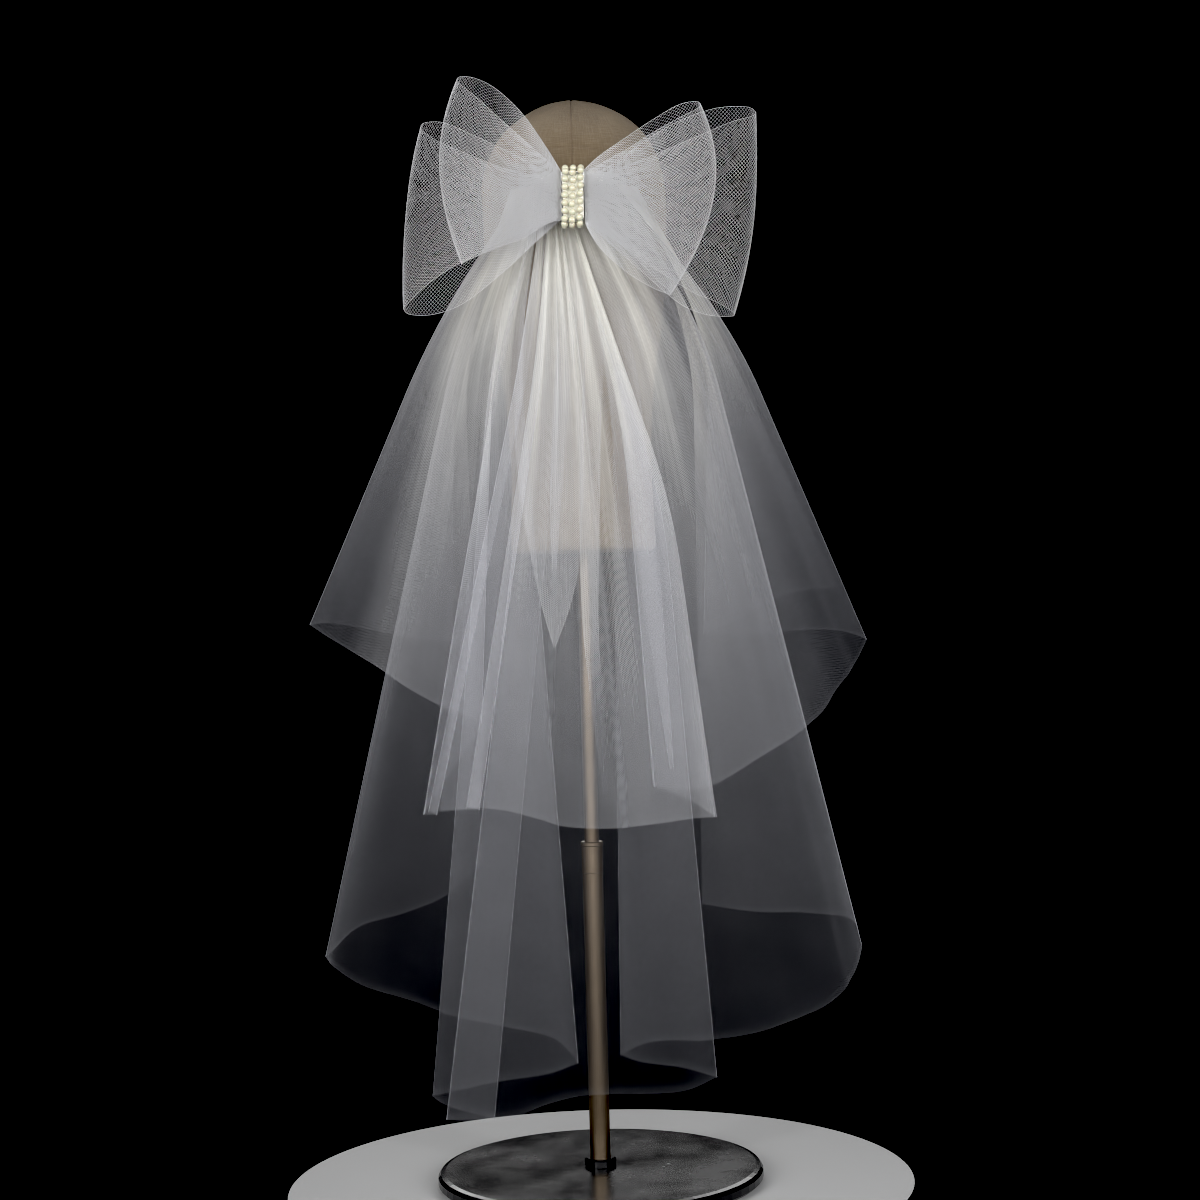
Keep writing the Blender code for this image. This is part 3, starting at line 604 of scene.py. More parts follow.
def pearl_material():
    n = Nodes("pearl_ivory")
    here = n.here()
    cloud = n.noise(here, 300.0, 3.0, 0.55)
    body = n.mix(n.range(cloud, 0.3, 0.7, 0.0, 1.0), (0.70, 0.675, 0.51), (0.61, 0.59, 0.44))
    front = n.principled(Base_Color=body, Roughness=n.range(cloud, 0.2, 0.8, 0.26, 0.36), Coat_Weight=0.9,
                         Coat_Roughness=0.10, Subsurface_Weight=0.12, Subsurface_Scale=0.0015, IOR=1.5,
                         Sheen_Weight=0.15)
    return n.finish(front.outputs[0])


def canvas_material():
    n = Nodes("head_canvas")
    uv = n.uv()
    here = n.here()
    # linen: warp and weft as crossed waves, broken up by thicker slubs
    wob = n.noise(here, 60.0, 2.0, 0.5)
    shift = n.math("MULTIPLY", n.math("SUBTRACT", wob, 0.5), 0.0016)
    sep = n.tree.nodes.new("ShaderNodeSeparateXYZ")
    n.tree.links.new(uv, sep.inputs[0])
    pitch = 0.00085
    warp = n.math("SINE", n.math("MULTIPLY", n.math("ADD", sep.outputs[0], shift), 2 * math.pi / pitch))
    weft = n.math("SINE", n.math("MULTIPLY", n.math("ADD", sep.outputs[1], shift), 2 * math.pi / pitch))
    weave = n.math("MULTIPLY", warp, weft)
    slub_h = n.noise(n.vector("MULTIPLY", uv, (0.07, 1.0, 1.0)), 900.0, 2.0, 0.6)
    slub_v = n.noise(n.vector("MULTIPLY", uv, (1.0, 0.07, 1.0)), 900.0, 2.0, 0.6)
    slubs = n.math("ADD", n.range(slub_h, 0.45, 0.75, 0.0, 1.0), n.range(slub_v, 0.45, 0.75, 0.0, 1.0))
    mottle = n.noise(here, 18.0, 4.0, 0.6)
    base = n.mix(n.range(mottle, 0.3, 0.7, 0.0, 1.0), (0.190, 0.137, 0.082), (0.310, 0.232, 0.142))
    base = n.mix(n.math("MULTIPLY", slubs, 0.34), base, (0.40, 0.32, 0.22))
    base = n.mix(n.range(weave, -1.0, 1.0, 0.0, 0.34), base, (0.12, 0.085, 0.05))
    flecks = n.tree.nodes.new("ShaderNodeTexVoronoi")
    flecks.inputs["Scale"].default_value = 120.0
    n.tree.links.new(here, flecks.inputs["Vector"])
    fleck_on = n.math("MULTIPLY", n.range(flecks.outputs["Distance"], 0.05, 0.13, 1.0, 0.0),
                      n.range(n.noise(here, 45.0, 2.0, 0.5), 0.58, 0.66, 0.0, 1.0))
    base = n.mix(n.math("MULTIPLY", fleck_on, 0.75), base, (0.10, 0.065, 0.035))
    seam = n.attribute("seam")
    base = n.mix(n.math("MULTIPLY", seam, 0.60), base, (0.17, 0.115, 0.07))
    height = n.math("ADD", n.math("MULTIPLY", weave, 0.35), n.math("MULTIPLY", slubs, 0.5))
    front = n.principled(Base_Color=base, Roughness=n.range(mottle, 0.3, 0.7, 0.80, 0.92), Sheen_Weight=0.15,
                         Sheen_Roughness=0.5)
    n.put(front, "Normal", n.bump(height, 0.8, 0.0006))
    return n.finish(front.outputs[0])


def metal_material(name, colour, rough, brushed_along_z=True):
    n = Nodes(name)
    here = n.here()
    stretch = (1.0, 1.0, 0.02) if brushed_along_z else (0.05, 0.05, 1.0)
    brushed = n.noise(n.vector("MULTIPLY", here, stretch), 900.0, 3.0, 0.6)
    wear = n.noise(here, 40.0, 4.0, 0.6)
    tint = n.mix(n.range(wear, 0.35, 0.75, 0.0, 1.0), colour, tuple(c * 0.78 for c in colour))
    r = n.math("ADD", n.range(brushed, 0.3, 0.7, rough - 0.05, rough + 0.07), n.range(wear, 0.5, 0.8, 0.0, 0.10))
    front = n.principled(Base_Color=tint, Metallic=1.0, Roughness=r, Anisotropic=0.4)
    n.put(front, "Normal", n.bump(brushed, 0.08, 0.0003))
    return n.finish(front.outputs[0])


def base_material():
    n = Nodes("base_black")
    here = n.here()
    haze = n.noise(here, 14.0, 4.0, 0.65)
    dust = n.noise(here, 900.0, 2.0, 0.7)
    colour = n.mix(n.range(dust, 0.72, 0.82, 0.0, 0.2), (0.008, 0.008, 0.009), (0.05, 0.05, 0.05))
    front = n.principled(Base_Color=colour, Roughness=n.range(haze, 0.3, 0.7, 0.16, 0.30), Coat_Weight=0.1,
                         Coat_Roughness=0.08, Specular_IOR_Level=0.3)
    n.put(front, "Normal", n.bump(n.noise(here, 320.0, 2.0, 0.5), 0.03, 0.0005))
    return n.finish(front.outputs[0])


# ---------------------------------------------------------------- the tiers of tulle
def pleat_field(rng, gather, v, count, long_count):
    """Fine gathers as ridges running down from the comb: outward push [level, column] in metres.
    gather is each column's place along the gathered edge, in metres."""
    span = gather[-1]
    c = gather[None, :] / span
    lv = v[:, None]
    push = np.zeros((len(v), len(gather)))
    for _ in range(count):
        c0, w = rng.uniform(0, 1), rng.uniform(0.0011, 0.0026) / span
        end, amp = rng.uniform(0.12, 0.75), rng.uniform(0.35, 1.0) * rng.choice([-1, 1])
        lean = rng.normal(0, 0.004)
        d = (c - c0 - lean * lv) / w
        push += 0.001 * amp * np.exp(-d * d) * (1 - smooth01(lv / end)) * (0.30 + 0.70 * smooth01(lv / 0.28))
    for _ in range(long_count):
        c0, w = rng.uniform(0, 1), rng.uniform(0.0022, 0.0045) / span
        amp, grow = rng.uniform(0.8, 1.7) * rng.choice([-1, 1]), rng.uniform(0.3, 1.2)
        lean = rng.normal(0, 0.006)
        d = (c - c0 - lean * lv) / w
        push += 0.001 * amp * np.exp(-d * d) * (0.25 + 0.3 * smooth01(lv / 0.2) + grow * lv)
    limit = 0.0005 + 0.0034 * smooth01(lv / 0.5)
    return limit * np.tanh(push / limit)


# Fullness: how many times more cloth a stretch of a tier holds than its outline shows, in pleats finer than its folds
SHORT_FULL = {"edge_l": 1.2, "tip_l": 1.0, "near_l1": 1.15, "near_l2": 2.25, "near_l3": 2.1, "near_l4": 1.85, "inner_l": 1.55, "panel_l": 1.5,
              "a_r": 1.65, "a_b": 1.45, "b_l": 1.75, "b_r": 1.75, "b_b": 1.75, "c_1": 2.1, "c_2": 2.05, "c_3": 2.1, "c_4": 2.05, "ridge": 2.4,
              "c_5": 2.5, "c_6": 2.35, "c_7": 2.4, "panel_r": 2.7, "back_r": 1.75, "inner_r": 1.45, "near_r1": 1.75, "near_r4": 1.75,
              "near_r7": 1.2, "tip_r": 0.8, "far_r2": 0.95, "edge_r": 0.8}
LONG_FULL = {"edge_l": 0.93, "tip_l": 0.90, "panel_l": 0.9, "panel_r": 0.80, "near_r2": 1.0, "tip_r": 1.1, "edge_r": 1.1}


# Pleats folded over on the short tier's front panel, from the comb down: height, left edge, right edge (mm), fullness
PLEATS = [
    [(802, -22, 0, 0.3), (746, -44, 8, 1.5), (680, -50, 6, 2.0), (632, -52, 4, 2.4), (583, -48, 2, 2.9), (531, -40, -2, 2.9),
     (496, -33, -11, 3.1), (466, -24.3, -23.6, 3.4)],
    [(800, -34, -18, 0.3), (745, -62, -38, 1.2), (680, -70, -44, 1.4), (633, -77, -49, 1.4), (569, -86, -60, 1.3),
     (506, -93, -69, 1.2), (443, -102, -77, 1.2), (380, -111, -83, 1.3), (341, -116, -86, 1.4)],
    [(790, 2, 16, 0.3), (720, 7, 23, 1.6), (631, 1, 17, 2.6), (551, -2, 14, 3.4), (510, -2, 12, 3.5), (472, -1, 11, 3.0),
     (430, 3, 13, 1.6), (390, 7, 14, 1.0), (352, 12, 15, 0.9)],
    [(760, 18, 32, 0.3), (690, 32, 48, 1.6), (620, 37, 54, 1.9), (550, 43, 59, 2.0), (500, 48, 62, 2.0), (450, 54, 64, 1.9),
     (400, 60, 66, 1.8), (370, 64, 67, 1.8)],
    [(770, -12, 2, 0.3), (720, -14, 0, 1.6), (660, -20, -8, 2.0), (600, -24, -14, 2.2), (560, -25, -18, 2.3), (528, -24, -21, 2.4)],
]


def folded_pleats(g, table):
    """A pleat lying on the front of a tier's grid: its points [level, column], net coordinates and fullness."""
    t = np.array(table, float) / (1000.0, 1000.0, 1000.0, 1.0)
    levels, across = 64, 13
    z = np.linspace(t[0, 0], t[-1, 0], levels)
    left, right = (np.interp(-z, -t[:, 0], t[:, k]) for k in (1, 2))
    for _ in range(3):
        left[1:-1] = 0.5 * left[1:-1] + 0.25 * (left[:-2] + left[2:])
        right[1:-1] = 0.5 * right[1:-1] + 0.25 * (right[:-2] + right[2:])
    w = np.linspace(-1, 1, across)
    x = 0.5 * (left + right)[:, None] + 0.5 * (right - left)[:, None] * w[None, :]
    near = g[g[:, :, 1] < -0.10].astype(np.float32)
    y = np.full(x.shape, np.nan)
    for i in range(levels):
        row = near[np.abs(near[:, 2] - z[i]) < 0.009]
        for j in range(across):
            hit = row[np.abs(row[:, 0] - x[i, j]) < 0.008, 1]
            y[i, j] = hit.min() if len(hit) else np.nan
    y = np.where(np.isnan(y), np.nanmean(y, axis=1, keepdims=True), y)
    for _ in range(6):
        y[1:-1] = 0.5 * y[1:-1] + 0.25 * (y[:-2] + y[2:])
        y[:, 1:-1] = 0.5 * y[:, 1:-1] + 0.25 * (y[:, :-2] + y[:, 2:])
    y = y - 0.0028 + 0.0022 * w[None, :] ** 4
    points = np.stack([x, y, np.broadcast_to(z[:, None], x.shape)], axis=-1)
    uv = np.stack([x + 0.3, np.broadcast_to(-z[:, None], x.shape)], axis=-1)
    dens = np.broadcast_to(np.interp(-z, -t[:, 0], t[:, 3])[:, None], x.shape)
    # the pleat's side edges are marked for the painted highlight along the edges in the tulle material
    hem = np.zeros(x.shape)
    hem[:, 0] = hem[:, -1] = 1.0
    return points, uv, dens, hem


def tier(name, folds, off, mat, seed, count, long_count, per_span, full, pleats=()):
    top = np.linspace(0, 1, 40) ** 1.25 * 0.30
    low = np.linspace(0.30, 1.0, 66)[1:-1]
    v = np.concatenate([top, low, [0.9985, 1.0]])
    g = tier_grid(folds, off, v, per_span, False)
    rows, cols = g.shape[:2]
    step = np.linalg.norm(np.diff(g, axis=1), axis=2)            # [level, span]
    along = np.concatenate([np.zeros((rows, 1)), np.cumsum(step, axis=1)], axis=1)
    hem_u = along[-1]
    # how far each strip of cloth is drawn together, against its width at the hem
    dens = step[-1][None, :] / np.maximum(step, 1e-6)
    kernel = np.hanning(9)[1:-1]
    kernel /= kernel.sum()
    pad = np.pad(dens, ((0, 0), (3, 3)), mode="edge")
    dens = np.stack([np.convolve(r, kernel, mode="valid") for r in pad])
    dens = np.concatenate([dens[:, :1], (dens[:, 1:] + dens[:, :-1]) / 2, dens[:, -1:]], axis=1)
    known = [(i * per_span, full[r[0]]) for i, r in enumerate(folds) if r[0] in full]
    dens = dens * np.interp(np.arange(cols), [k[0] for k in known], [k[1] for k in known])[None, :]
    dens = np.clip(dens, 0.6, 11.0)
    rng = np.random.default_rng(seed)
    push = pleat_field(rng, along[0], v, count, long_count)
    normal = grid_normals(g)
    g = g + normal * push[:, :, None]
    extra = [folded_pleats(g, table) for table in pleats]
    verts, faces = [g.reshape(-1, 3)], [grid_faces(rows, cols)]
    for e in extra:
        faces.append(grid_faces(*e[0].shape[:2]) + sum(len(q) for q in verts))
        verts.append(e[0].reshape(-1, 3))
    obj = mesh_object(name, np.concatenate(verts), np.concatenate(faces), mat)
    drop = np.concatenate([[0], np.cumsum(np.linalg.norm(np.diff(g, axis=0), axis=2).mean(axis=1))])
    uv = np.stack([np.broadcast_to(hem_u[None, :], (rows, cols)), np.broadcast_to(drop[:, None], (rows, cols))], axis=-1)
    set_uv(obj.data, np.concatenate([uv.reshape(-1, 2)] + [e[1].reshape(-1, 2) for e in extra]))
    set_float(obj.data, "dens", np.concatenate([dens.ravel()] + [e[2].ravel() for e in extra]))
    # the hem and side edges are marked for the painted highlight along the edges in the tulle material
    hem = np.zeros((rows, cols))
    hem[-1] = hem[-2] = 1.0
    hem[:, 0] = hem[:, -1] = 0.6
    set_float(obj.data, "hem", np.concatenate([hem.ravel()] + [e[3].ravel() for e in extra]))
    area = float(np.linalg.norm(np.cross(g[1:, :-1] - g[:-1, :-1], g[:-1, 1:] - g[:-1, :-1]), axis=2).sum())
    print(name, "hem", round(float(hem_u[-1]), 3), "gather", round(float(along[0, -1]), 3), "area", round(area, 4),
          "drop", round(float(drop[-1]), 3), "verts", rows * cols)
    return obj


# ---------------------------------------------------------------- the bow
CRIN_PITCH = 0.00221      # distance between neighbouring strands
STRAND = 0.000081         # half width of a strand where the net lies open
STRAND_SHUT = 0.00021     # and where its strands crowd together at the knot
STRAND_DEEP = 0.00021     # half depth of a strand
CRIN_WIDTH = 0.155        # width of the flat ribbon


def ribbon(stations, seed):
    """A loop's surface as a dense grid [across, along] with its crimps at the knot, and its length."""
    across, along = 61, 181
    g = loop_grid(stations, along, across)
    mid = g[across // 2]
    s = np.concatenate([[0], np.cumsum(np.linalg.norm(np.diff(mid, axis=0), axis=1))])
    t = s / s[-1]
    rng = np.random.default_rng(seed)
    w = np.linspace(-1, 1, across)
    wave = np.zeros(across)
    for _ in range(4):
        f, ph = rng.uniform(3.2, 6.5), rng.uniform(0, 6.28)
        wave += np.sin(w * f * math.pi / 2 + ph)
    wave /= 2.2
    near = np.exp(-((t - 0.0) / 0.10) ** 2) + np.exp(-((1 - t) / 0.10) ** 2)
    root = smooth01(t / 0.02) * smooth01((1 - t) / 0.02) * 0.7 + 0.3
    n = grid_normals(g)
    bulge = 0.0012 * np.sin(w * 2.3 + rng.uniform(0, 6))[:, None] * np.sin(np.pi * t)[None, :]
    g = g + n * (wave[:, None] * near[None, :] * root[None, :] * 0.0011 + bulge)[:, :, None]
    return g, float(s[-1]), t


def loop_net(name, stations, seed, mat):
    g, length, t = ribbon(stations, seed)
    across, along = g.shape[:2]
    n = grid_normals(g)
    width = CRIN_WIDTH

    def at(ss, ww, lift):
        """Points of the ribbon at flat places ss (along) and ww (across), in metres."""
        ti = np.interp(ss / length, t, np.arange(along))
        wi = np.clip(ww / width, 0, 1) * (across - 1)
        i, j = np.clip(wi.astype(int), 0, across - 2), np.clip(ti.astype(int), 0, along - 2)
        fi, fj = (wi - i)[:, None], (ti - j)[:, None]
        def mixed(q):
            return ((q[i, j] * (1 - fj) + q[i, j + 1] * fj) * (1 - fi)
                    + (q[i + 1, j] * (1 - fj) + q[i + 1, j + 1] * fj) * fi)
        return mixed(g) + mixed(n) * lift

    narrow = np.linalg.norm(np.diff(g, axis=0), axis=2).sum(0)      # the ribbon's width at each place along it
    close = smooth01(1 - np.minimum(t, 1 - t) / 0.31)               # the strands crowd together towards the knot
    bunch = CRIN_WIDTH / narrow * (1 + 0.5 * close)
    lines, widths = [], []
    gap = CRIN_PITCH * math.sqrt(2)
    seg = 0.0052
    for side in (1, -1):
        k0 = 0.0 if side < 0 else -width
        count = int((length + width) / gap)
        for k in range(count + 1):
            c = k0 + (k + 0.5) * gap
            # the strand is s = c + w (side 1) or s = c - w (side -1), inside the ribbon
            if side > 0:
                w0, w1 = max(0.0, -c), min(width, length - c)
            else:
                w0, w1 = max(0.0, c - length), min(width, c)
            if w1 - w0 < 0.003:
                continue
            m = max(3, int(math.ceil((w1 - w0) * math.sqrt(2) / seg)) + 1)
            ww = np.linspace(w0, w1, m)
            ss = c + side * ww
            lines.append(at(ss, ww, 0.00021 * side))
            shut = smooth01((np.interp(ss / length, t, bunch) - 1.0) / 1.6)
            widths.append(STRAND + (STRAND_SHUT - STRAND) * shut)
    net = tubes(name, lines, widths, 3, mat, math.pi / 2, STRAND_DEEP)
    m = 140
    ss = np.linspace(0, length, m)
    cords = [at(ss, np.full(m, x), 0.0) for x in (0.0003, width - 0.0003)]
    edge = tubes(name + "_selvage", cords, 0.00013, 6, mat)
    print(name, "length", round(length, 4), "strands", len(lines), "tris", len(net.data.polygons) * 2)
    return net, edge, length


def knot_wrap(mat):
    """The narrow ribbon wrapped round the bow, with soft folds along its run."""
    outline = np.array(knot_outline())
    closed = np.concatenate([outline, outline[:1]])
    d = np.concatenate([[0], np.cumsum(np.linalg.norm(np.diff(closed, axis=0), axis=1))])
    m = 200
    q = np.stack([np.interp(np.linspace(0, d[-1], m, endpoint=False), d, closed[:, k]) for k in (0, 1)], axis=1)
    for _ in range(3):
        q = 0.5 * q + 0.25 * (np.roll(q, 1, 0) + np.roll(q, -1, 0))
    tangent = np.roll(q, -1, 0) - np.roll(q, 1, 0)
    tangent /= np.linalg.norm(tangent, axis=1, keepdims=True)
    out = np.stack([tangent[:, 1], -tangent[:, 0]], axis=1)
    if ((out * (q - q.mean(0))).sum(1) > 0).mean() < 0.5:
        out = -out
    cols = 49
    w = np.linspace(-1, 1, cols)
    x0, x1 = KNOT_X
    verts = []
    for j, wj in enumerate(w):
        fold = 0.00035 * math.cos(wj * 9.5) + 0.00018 * math.sin(wj * 21.0 + 0.7) - 0.0004
        edge = -0.0010 * max(0.0, (abs(wj) - 0.86) / 0.14) ** 2
        side = 0.5 * (x0 + x1) + 0.5 * (x1 - x0) * wj
        ring = q + out * (fold + edge)
        verts.append(np.stack([np.full(m, side), ring[:, 0], ring[:, 1]], axis=1))
    caps = []
    for side, ring in ((x0, verts[0]), (x1, verts[-1])):
        c = ring.mean(0)
        caps.append([c + (ring - c) * k for k in (0.66, 0.33, 0.02)])
    rows = caps[0][::-1] + verts + caps[1]
    rows = np.array(rows)
    return mesh_object("bow_knot", rows.reshape(-1, 3), grid_faces(len(rows), m, wrap=True), mat)


def pearl_strands(mat):
    made = []
    rng = np.random.default_rng(31)
    seg, ring = 24, 14
    th = np.linspace(0, math.pi, ring + 1)[1:-1]
    ph = 2 * math.pi * np.arange(seg) / seg
    ball = [(0, 0, 1.0)] + [(math.sin(a) * math.cos(b), math.sin(a) * math.sin(b), math.cos(a)) for a in th for b in ph]
    ball = np.array(ball + [(0, 0, -1.0)])
    last = len(ball) - 1
    faces = []
    for j in range(seg):
        k = (j + 1) % seg
        faces.append((0, 1 + j, 1 + k, 1 + k))
        for i in range(ring - 2):
            a = 1 + i * seg
            faces.append((a + j, a + seg + j, a + seg + k, a + k))
        a = 1 + (ring - 2) * seg
        faces.append((a + j, last, last, a + k))
    tris = [f for f in faces]
    tri = []
    for f in tris:
        u = list(dict.fromkeys(f))
        tri.append(u[:3])
        if len(u) == 4:
            tri.append([u[0], u[2], u[3]])
    tri = np.array(tri)
    for name, x_top, x_bottom in STRANDS:
        path = np.array(strand_path(x_top, x_bottom, 0.0030))
        d = np.concatenate([[0], np.cumsum(np.linalg.norm(np.diff(path, axis=0), axis=1))])
        pitch = 0.00640
        count = int((d[-1] - 0.0030) / pitch)
        start = (d[-1] - (count - 1) * pitch) / 2 + {"left": 0.0, "middle": 0.0012, "right": -0.0008}[name]
        verts, parts = [], []
        for i in range(count):
            at = start + i * pitch
            if at < 0.0016 or at > d[-1] - 0.0016:
                continue
            c = np.array([np.interp(at, d, path[:, k]) for k in range(3)])
            c[0] += rng.normal(0, 0.00012)
            r = 0.00280 * (1 + rng.normal(0, 0.010))
            a = rng.uniform(0, math.pi)
            turn = np.array([[math.cos(a), 0, math.sin(a)], [0, 1, 0], [-math.sin(a), 0, math.cos(a)]])
            parts.append(tri + len(verts) * len(ball))
            verts.append(c + r * ball @ turn.T)
        made.append(mesh_object("bead_strand_" + name, np.concatenate(verts), np.concatenate(parts), mat))
    return made


# ---------------------------------------------------------------- the head
def smooth_section(z):
    """Half width, half depth and centre y (m) at height z, through the sections as a smooth curve."""
    if z > 0.855:
        k = math.sqrt(max(0.0, 1 - ((z - 0.855) / 0.080) ** 2))
        return 0.080 * k, 0.098 * k, 0.0
    rows = np.array([r for r in HEAD_SECTIONS if r[0] <= 855 and r[0] != 545], float) / 1000.0
    zs = rows[:, 0]
    i = int(np.clip(np.searchsorted(zs, z) - 1, 0, len(zs) - 2))
    out = []
    for k in (1, 2, 3):
        y = rows[:, k]
        slope = np.diff(y) / np.diff(zs)
        m = np.concatenate([[0.0], np.where(slope[1:] * slope[:-1] > 0,
                                            2 * slope[1:] * slope[:-1] / np.where(slope[1:] + slope[:-1] == 0, 1, slope[1:] + slope[:-1]), 0.0), [0.0]])
        h = zs[i + 1] - zs[i]
        t = (z - zs[i]) / h
        out.append((2*t**3 - 3*t**2 + 1) * y[i] + (t**3 - 2*t**2 + t) * h * m[i]
                   + (-2*t**3 + 3*t**2) * y[i + 1] + (t**3 - t**2) * h * m[i + 1])
    return tuple(out)


def head_form(mat):
    """The canvas head: a smooth stuffed form with a welt down its middle and a curved seam over the crown."""
    base = np.linspace(0, 2 * math.pi, 145)[:-1]
    fine = np.concatenate([c + np.linspace(-0.045, 0.045, 13) for c in (math.pi / 2, 1.5 * math.pi)])
    ang = np.unique(np.round(np.concatenate([base, fine]), 5))
    keep = np.concatenate([[True], np.diff(ang) > 0.004])
    ang = ang[keep]
    z_low = list(np.linspace(0.552, 0.855, 74))
    dome = np.linspace(0, math.pi / 2, 66)[1:-1]
    rows, seams = [], []
    # rounded rim at the neck, turning in to the tube's socket
    rim = [(0.0070, 0.5450), (0.030, 0.5450), (0.052, 0.5450), (0.0585, 0.5452), (0.0610, 0.5464), (0.0624, 0.5488)]
    for r, z in rim:
        rows.append([(r * math.cos(a), r * math.sin(a) - 0.006 * min(1, r / 0.05), z) for a in ang])
    for z in z_low:
        a0, b0, yc = smooth_section(z)
        rows.append([(a0 * math.cos(a), yc + b0 * math.sin(a), z) for a in ang])
    for e in dome:
        k = math.cos(e)
        rows.append([(0.080 * k * math.cos(a), 0.098 * k * math.sin(a), 0.855 + 0.080 * math.sin(e)) for a in ang])
    g = np.array(rows)
    n = grid_normals(np.concatenate([g, g[:, :1]], axis=1))[:, :-1]
    centre = g.mean(axis=1, keepdims=True)
    centre[:, :, 2] = np.minimum(centre[:, :, 2], 0.86)
    flip = (n * (g - centre)).sum(2, keepdims=True) < 0
    n = np.where(flip, -n, n)
    x, y, z = g[:, :, 0], g[:, :, 1], g[:, :, 2]
    low = z < 0.5500
    mid = np.abs(x) / 0.0007
    arc = 0.8805 - 0.55 * x ** 2 / 0.08 - np.where(y < 0, 0, 1)       # curved seam across the back of the crown
    cross = np.abs(z - arc) / 0.0008 * np.where(np.abs(x) < 0.047, 1, 9)
    seam = np.maximum(np.exp(-mid ** 2), 0.85 * np.exp(-cross ** 2))
    puff = np.exp(-(np.abs(x) / 0.006) ** 2) * 0.0005
    soft = 0.0006 * (np.sin(x * 95 + z * 40) * np.sin(y * 80 - z * 55))
    push = np.where(low, 0.0, puff - 0.0009 * seam + soft - 0.0004)
    g = g + n * push[:, :, None]
    cols = len(ang)
    verts = g.reshape(-1, 3)
    faces = grid_faces(len(g), cols, wrap=True)
    top = np.array([[0, 0, 0.9346]])
    verts = np.concatenate([verts, top])
    t = (len(g) - 1) * cols
    cap = [(t + j, t + (j + 1) % cols, len(verts) - 1, len(verts) - 1) for j in range(cols)]
    mesh = bpy.data.meshes.new("head_form")
    polys = [tuple(f) for f in faces] + [c[:3] for c in cap]
    mesh.from_pydata([tuple(p) for p in verts], [], polys)
    mesh.materials.append(mat)
    mesh.shade_smooth()
    obj = bpy.data.objects.new("head_form", mesh)
    bpy.context.scene.collection.objects.link(obj)
    # cloth coordinates: round the head and up it, in metres
    drop = np.concatenate([[0], np.cumsum(np.linalg.norm(np.diff(g[:, cols // 4], axis=0), axis=1))])
    uu = ang * 0.088
    uv = np.stack([np.broadcast_to(uu[None, :], (len(g), cols)), np.broadcast_to(drop[:, None], (len(g), cols))], -1).reshape(-1, 2)
    uv = np.concatenate([uv, [[0.1, drop[-1] + 0.001]]])
    set_uv(obj.data, uv)
    set_float(obj.data, "seam", np.concatenate([np.where(low, 0, seam).ravel(), [1.0]]))
    return obj


# ---------------------------------------------------------------- build
tulle_a, tulle_b = tulle_material("soft_tulle_short"), tulle_material("soft_tulle_long")
crin, pearl = crin_material(), pearl_material()

per_span = 14
short = tier("veil_short", SHORT_FOLDS, SHORT_OFF, tulle_a, 11, 150, 46, per_span, SHORT_FULL, PLEATS)
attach(short, "display")
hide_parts("tulle_short")

long_ = tier("veil_long", LONG_FOLDS, LONG_OFF, tulle_b, 23, 150, 50, per_span + (2), LONG_FULL)
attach(long_, "display")
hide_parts("tulle_long")

for i, (name, stations) in enumerate(LOOPS.items()):
    net, edge, length = loop_net("bow_" + name, stations, 40 + i, crin)
    for o in (net, edge):
        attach(o, "display")
    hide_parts("loop_" + name)

wrap = knot_wrap(wrap_material())
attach(wrap, "display")
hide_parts("knot")

for o, node in zip(pearl_strands(pearl), ("pearls_left", "pearls_middle", "pearls_right")):
    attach(o, "display")
    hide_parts(node)

head = head_form(canvas_material())
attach(head, "display")
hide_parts("canvas_head")

champagne = metal_material("champagne_metal", (0.185, 0.145, 0.105), 0.42)
steel = metal_material("comb_metal", (0.66, 0.66, 0.63), 0.26, False)
black = base_material()
for node, mat in (("base_disc", black), ("foot_ring", black), ("lower_tube", champagne), ("collar", champagne),
                  ("upper_tube", champagne), ("comb", steel)):
    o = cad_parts[node]
    o.data.materials.clear()
    o.data.materials.append(mat)
    o.data.polygons.foreach_set("material_index", [0] * len(o.data.polygons))

# ---------------------------------------------------------------- stage, light and camera
def disc(name, radius, z, mat):
    a = 2 * np.pi * np.arange(160) / 160
    verts = [(0, 0, z)] + [(radius * math.cos(t), radius * math.sin(t), z) for t in a]
    mesh = bpy.data.meshes.new(name)
    mesh.from_pydata(verts, [], [(0, 1 + i, 1 + (i + 1) % 160) for i in range(160)])
    mesh.materials.append(mat)
    obj = bpy.data.objects.new(name, mesh)
    bpy.context.scene.collection.objects.link(obj)
    return obj


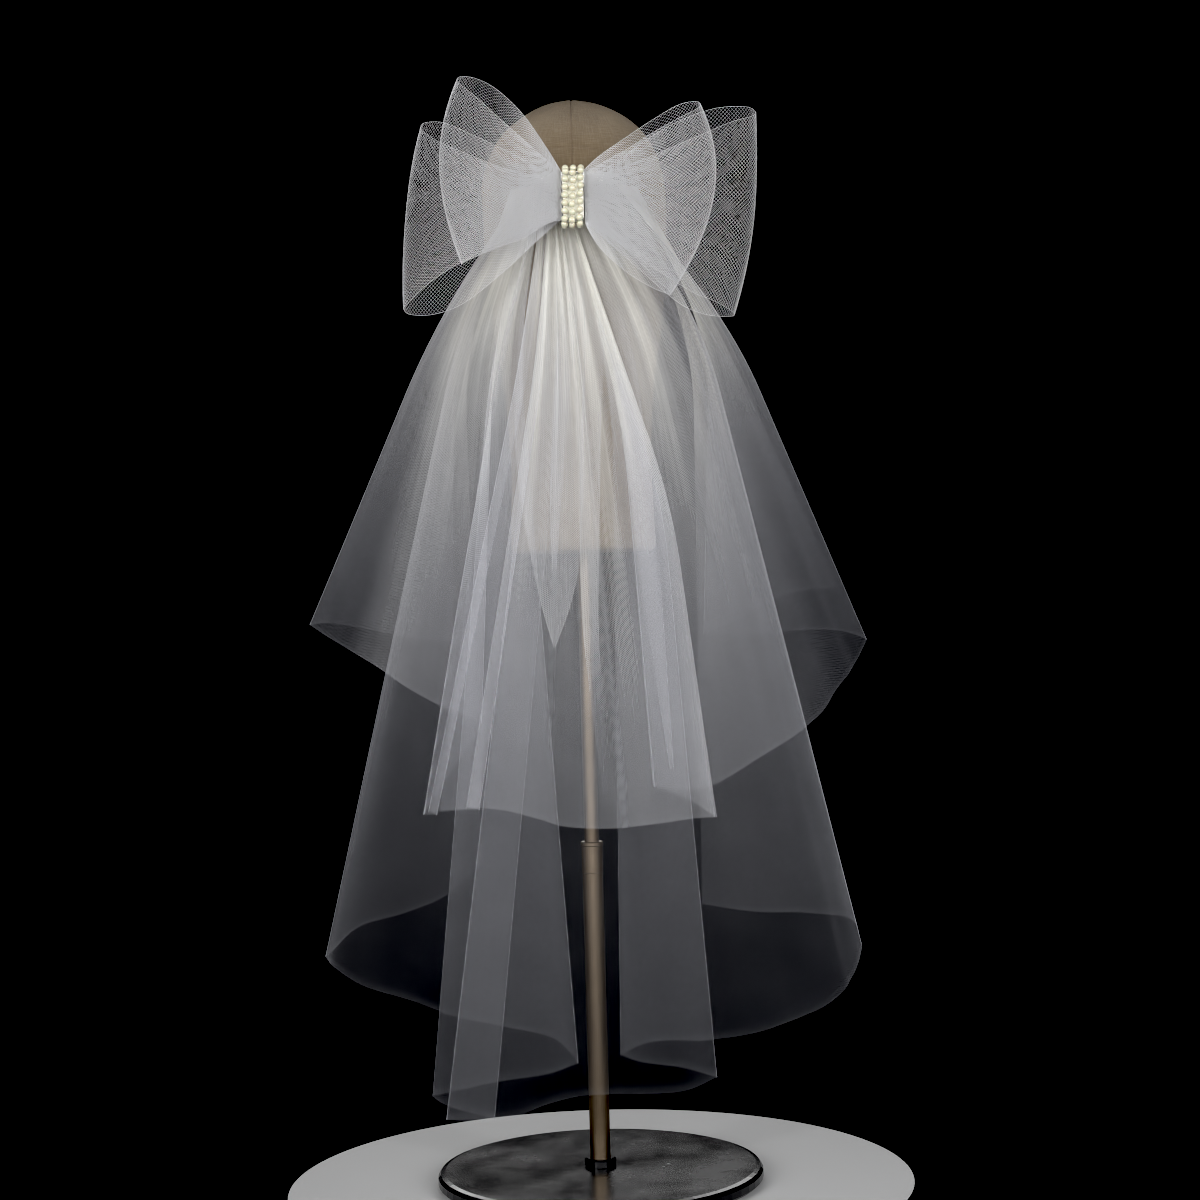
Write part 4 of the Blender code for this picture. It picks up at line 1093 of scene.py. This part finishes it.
n = Nodes("floor_pale")
grain = n.noise(n.here(), 6.0, 3.0, 0.5)
floor_shader = n.principled(Base_Color=n.mix(grain, (0.50, 0.50, 0.50), (0.53, 0.53, 0.53)), Roughness=0.7)
floor = disc("floor", 0.27, -0.0006, n.finish(floor_shader.outputs[0]))

world = bpy.data.worlds.new("studio")
bpy.context.scene.world = world
world.use_nodes = True
bg = world.node_tree.nodes["Background"]
bg.inputs[0].default_value = (0.0016, 0.0016, 0.0018, 1)
bg.inputs[1].default_value = 1.0


def softbox(name, place, aim, width, height, watts, colour=(1, 1, 1)):
    data = bpy.data.lights.new(name, "AREA")
    data.shape, data.size, data.size_y = "RECTANGLE", width, height
    data.energy, data.color = watts, colour
    obj = bpy.data.objects.new(name, data)
    obj.location = place
    obj.rotation_mode = "QUATERNION"
    obj.rotation_quaternion = (Vector(aim) - Vector(place)).to_track_quat("-Z", "Y")
    obj.visible_camera = False
    bpy.context.scene.collection.objects.link(obj)
    return obj


aim = (0.0, -0.05, 0.60)
softbox("key_left", (-1.55, -1.75, 1.05), aim, 0.7, 1.2, 37)
softbox("key_right", (1.55, -1.75, 1.05), aim, 0.7, 1.2, 35, (0.98, 0.985, 1.0))
softbox("fill_front", (0.0, -2.5, 0.75), (0.0, -0.05, 0.60), 1.3, 1.3, 29)
softbox("rim_back", (0.0, 2.1, 1.3), aim, 1.6, 0.8, 16)

cam_data = bpy.data.cameras.new("camera")
cam_data.lens, cam_data.sensor_width = 68.0, 36.0
cam_data.clip_start, cam_data.clip_end = 0.05, 50.0
cam = bpy.data.objects.new("camera", cam_data)
bpy.context.scene.collection.objects.link(cam)
s, c = 0.0279, 0.9996
cam.matrix_world = Matrix(((c, s, 0, 0.013), (0, 0, -1, -1.97), (-s, c, 0, 0.503), (0, 0, 0, 1)))
bpy.context.scene.camera = cam

scene = bpy.context.scene
scene.view_settings.view_transform = "Standard"
scene.view_settings.use_curve_mapping = True
scene.view_settings.curve_mapping.black_level = (0.022, 0.022, 0.022)
scene.view_settings.curve_mapping.update()
scene.cycles.transparent_max_bounces = 64
scene.cycles.use_denoising = True
scene.cycles.filter_width = 1.0
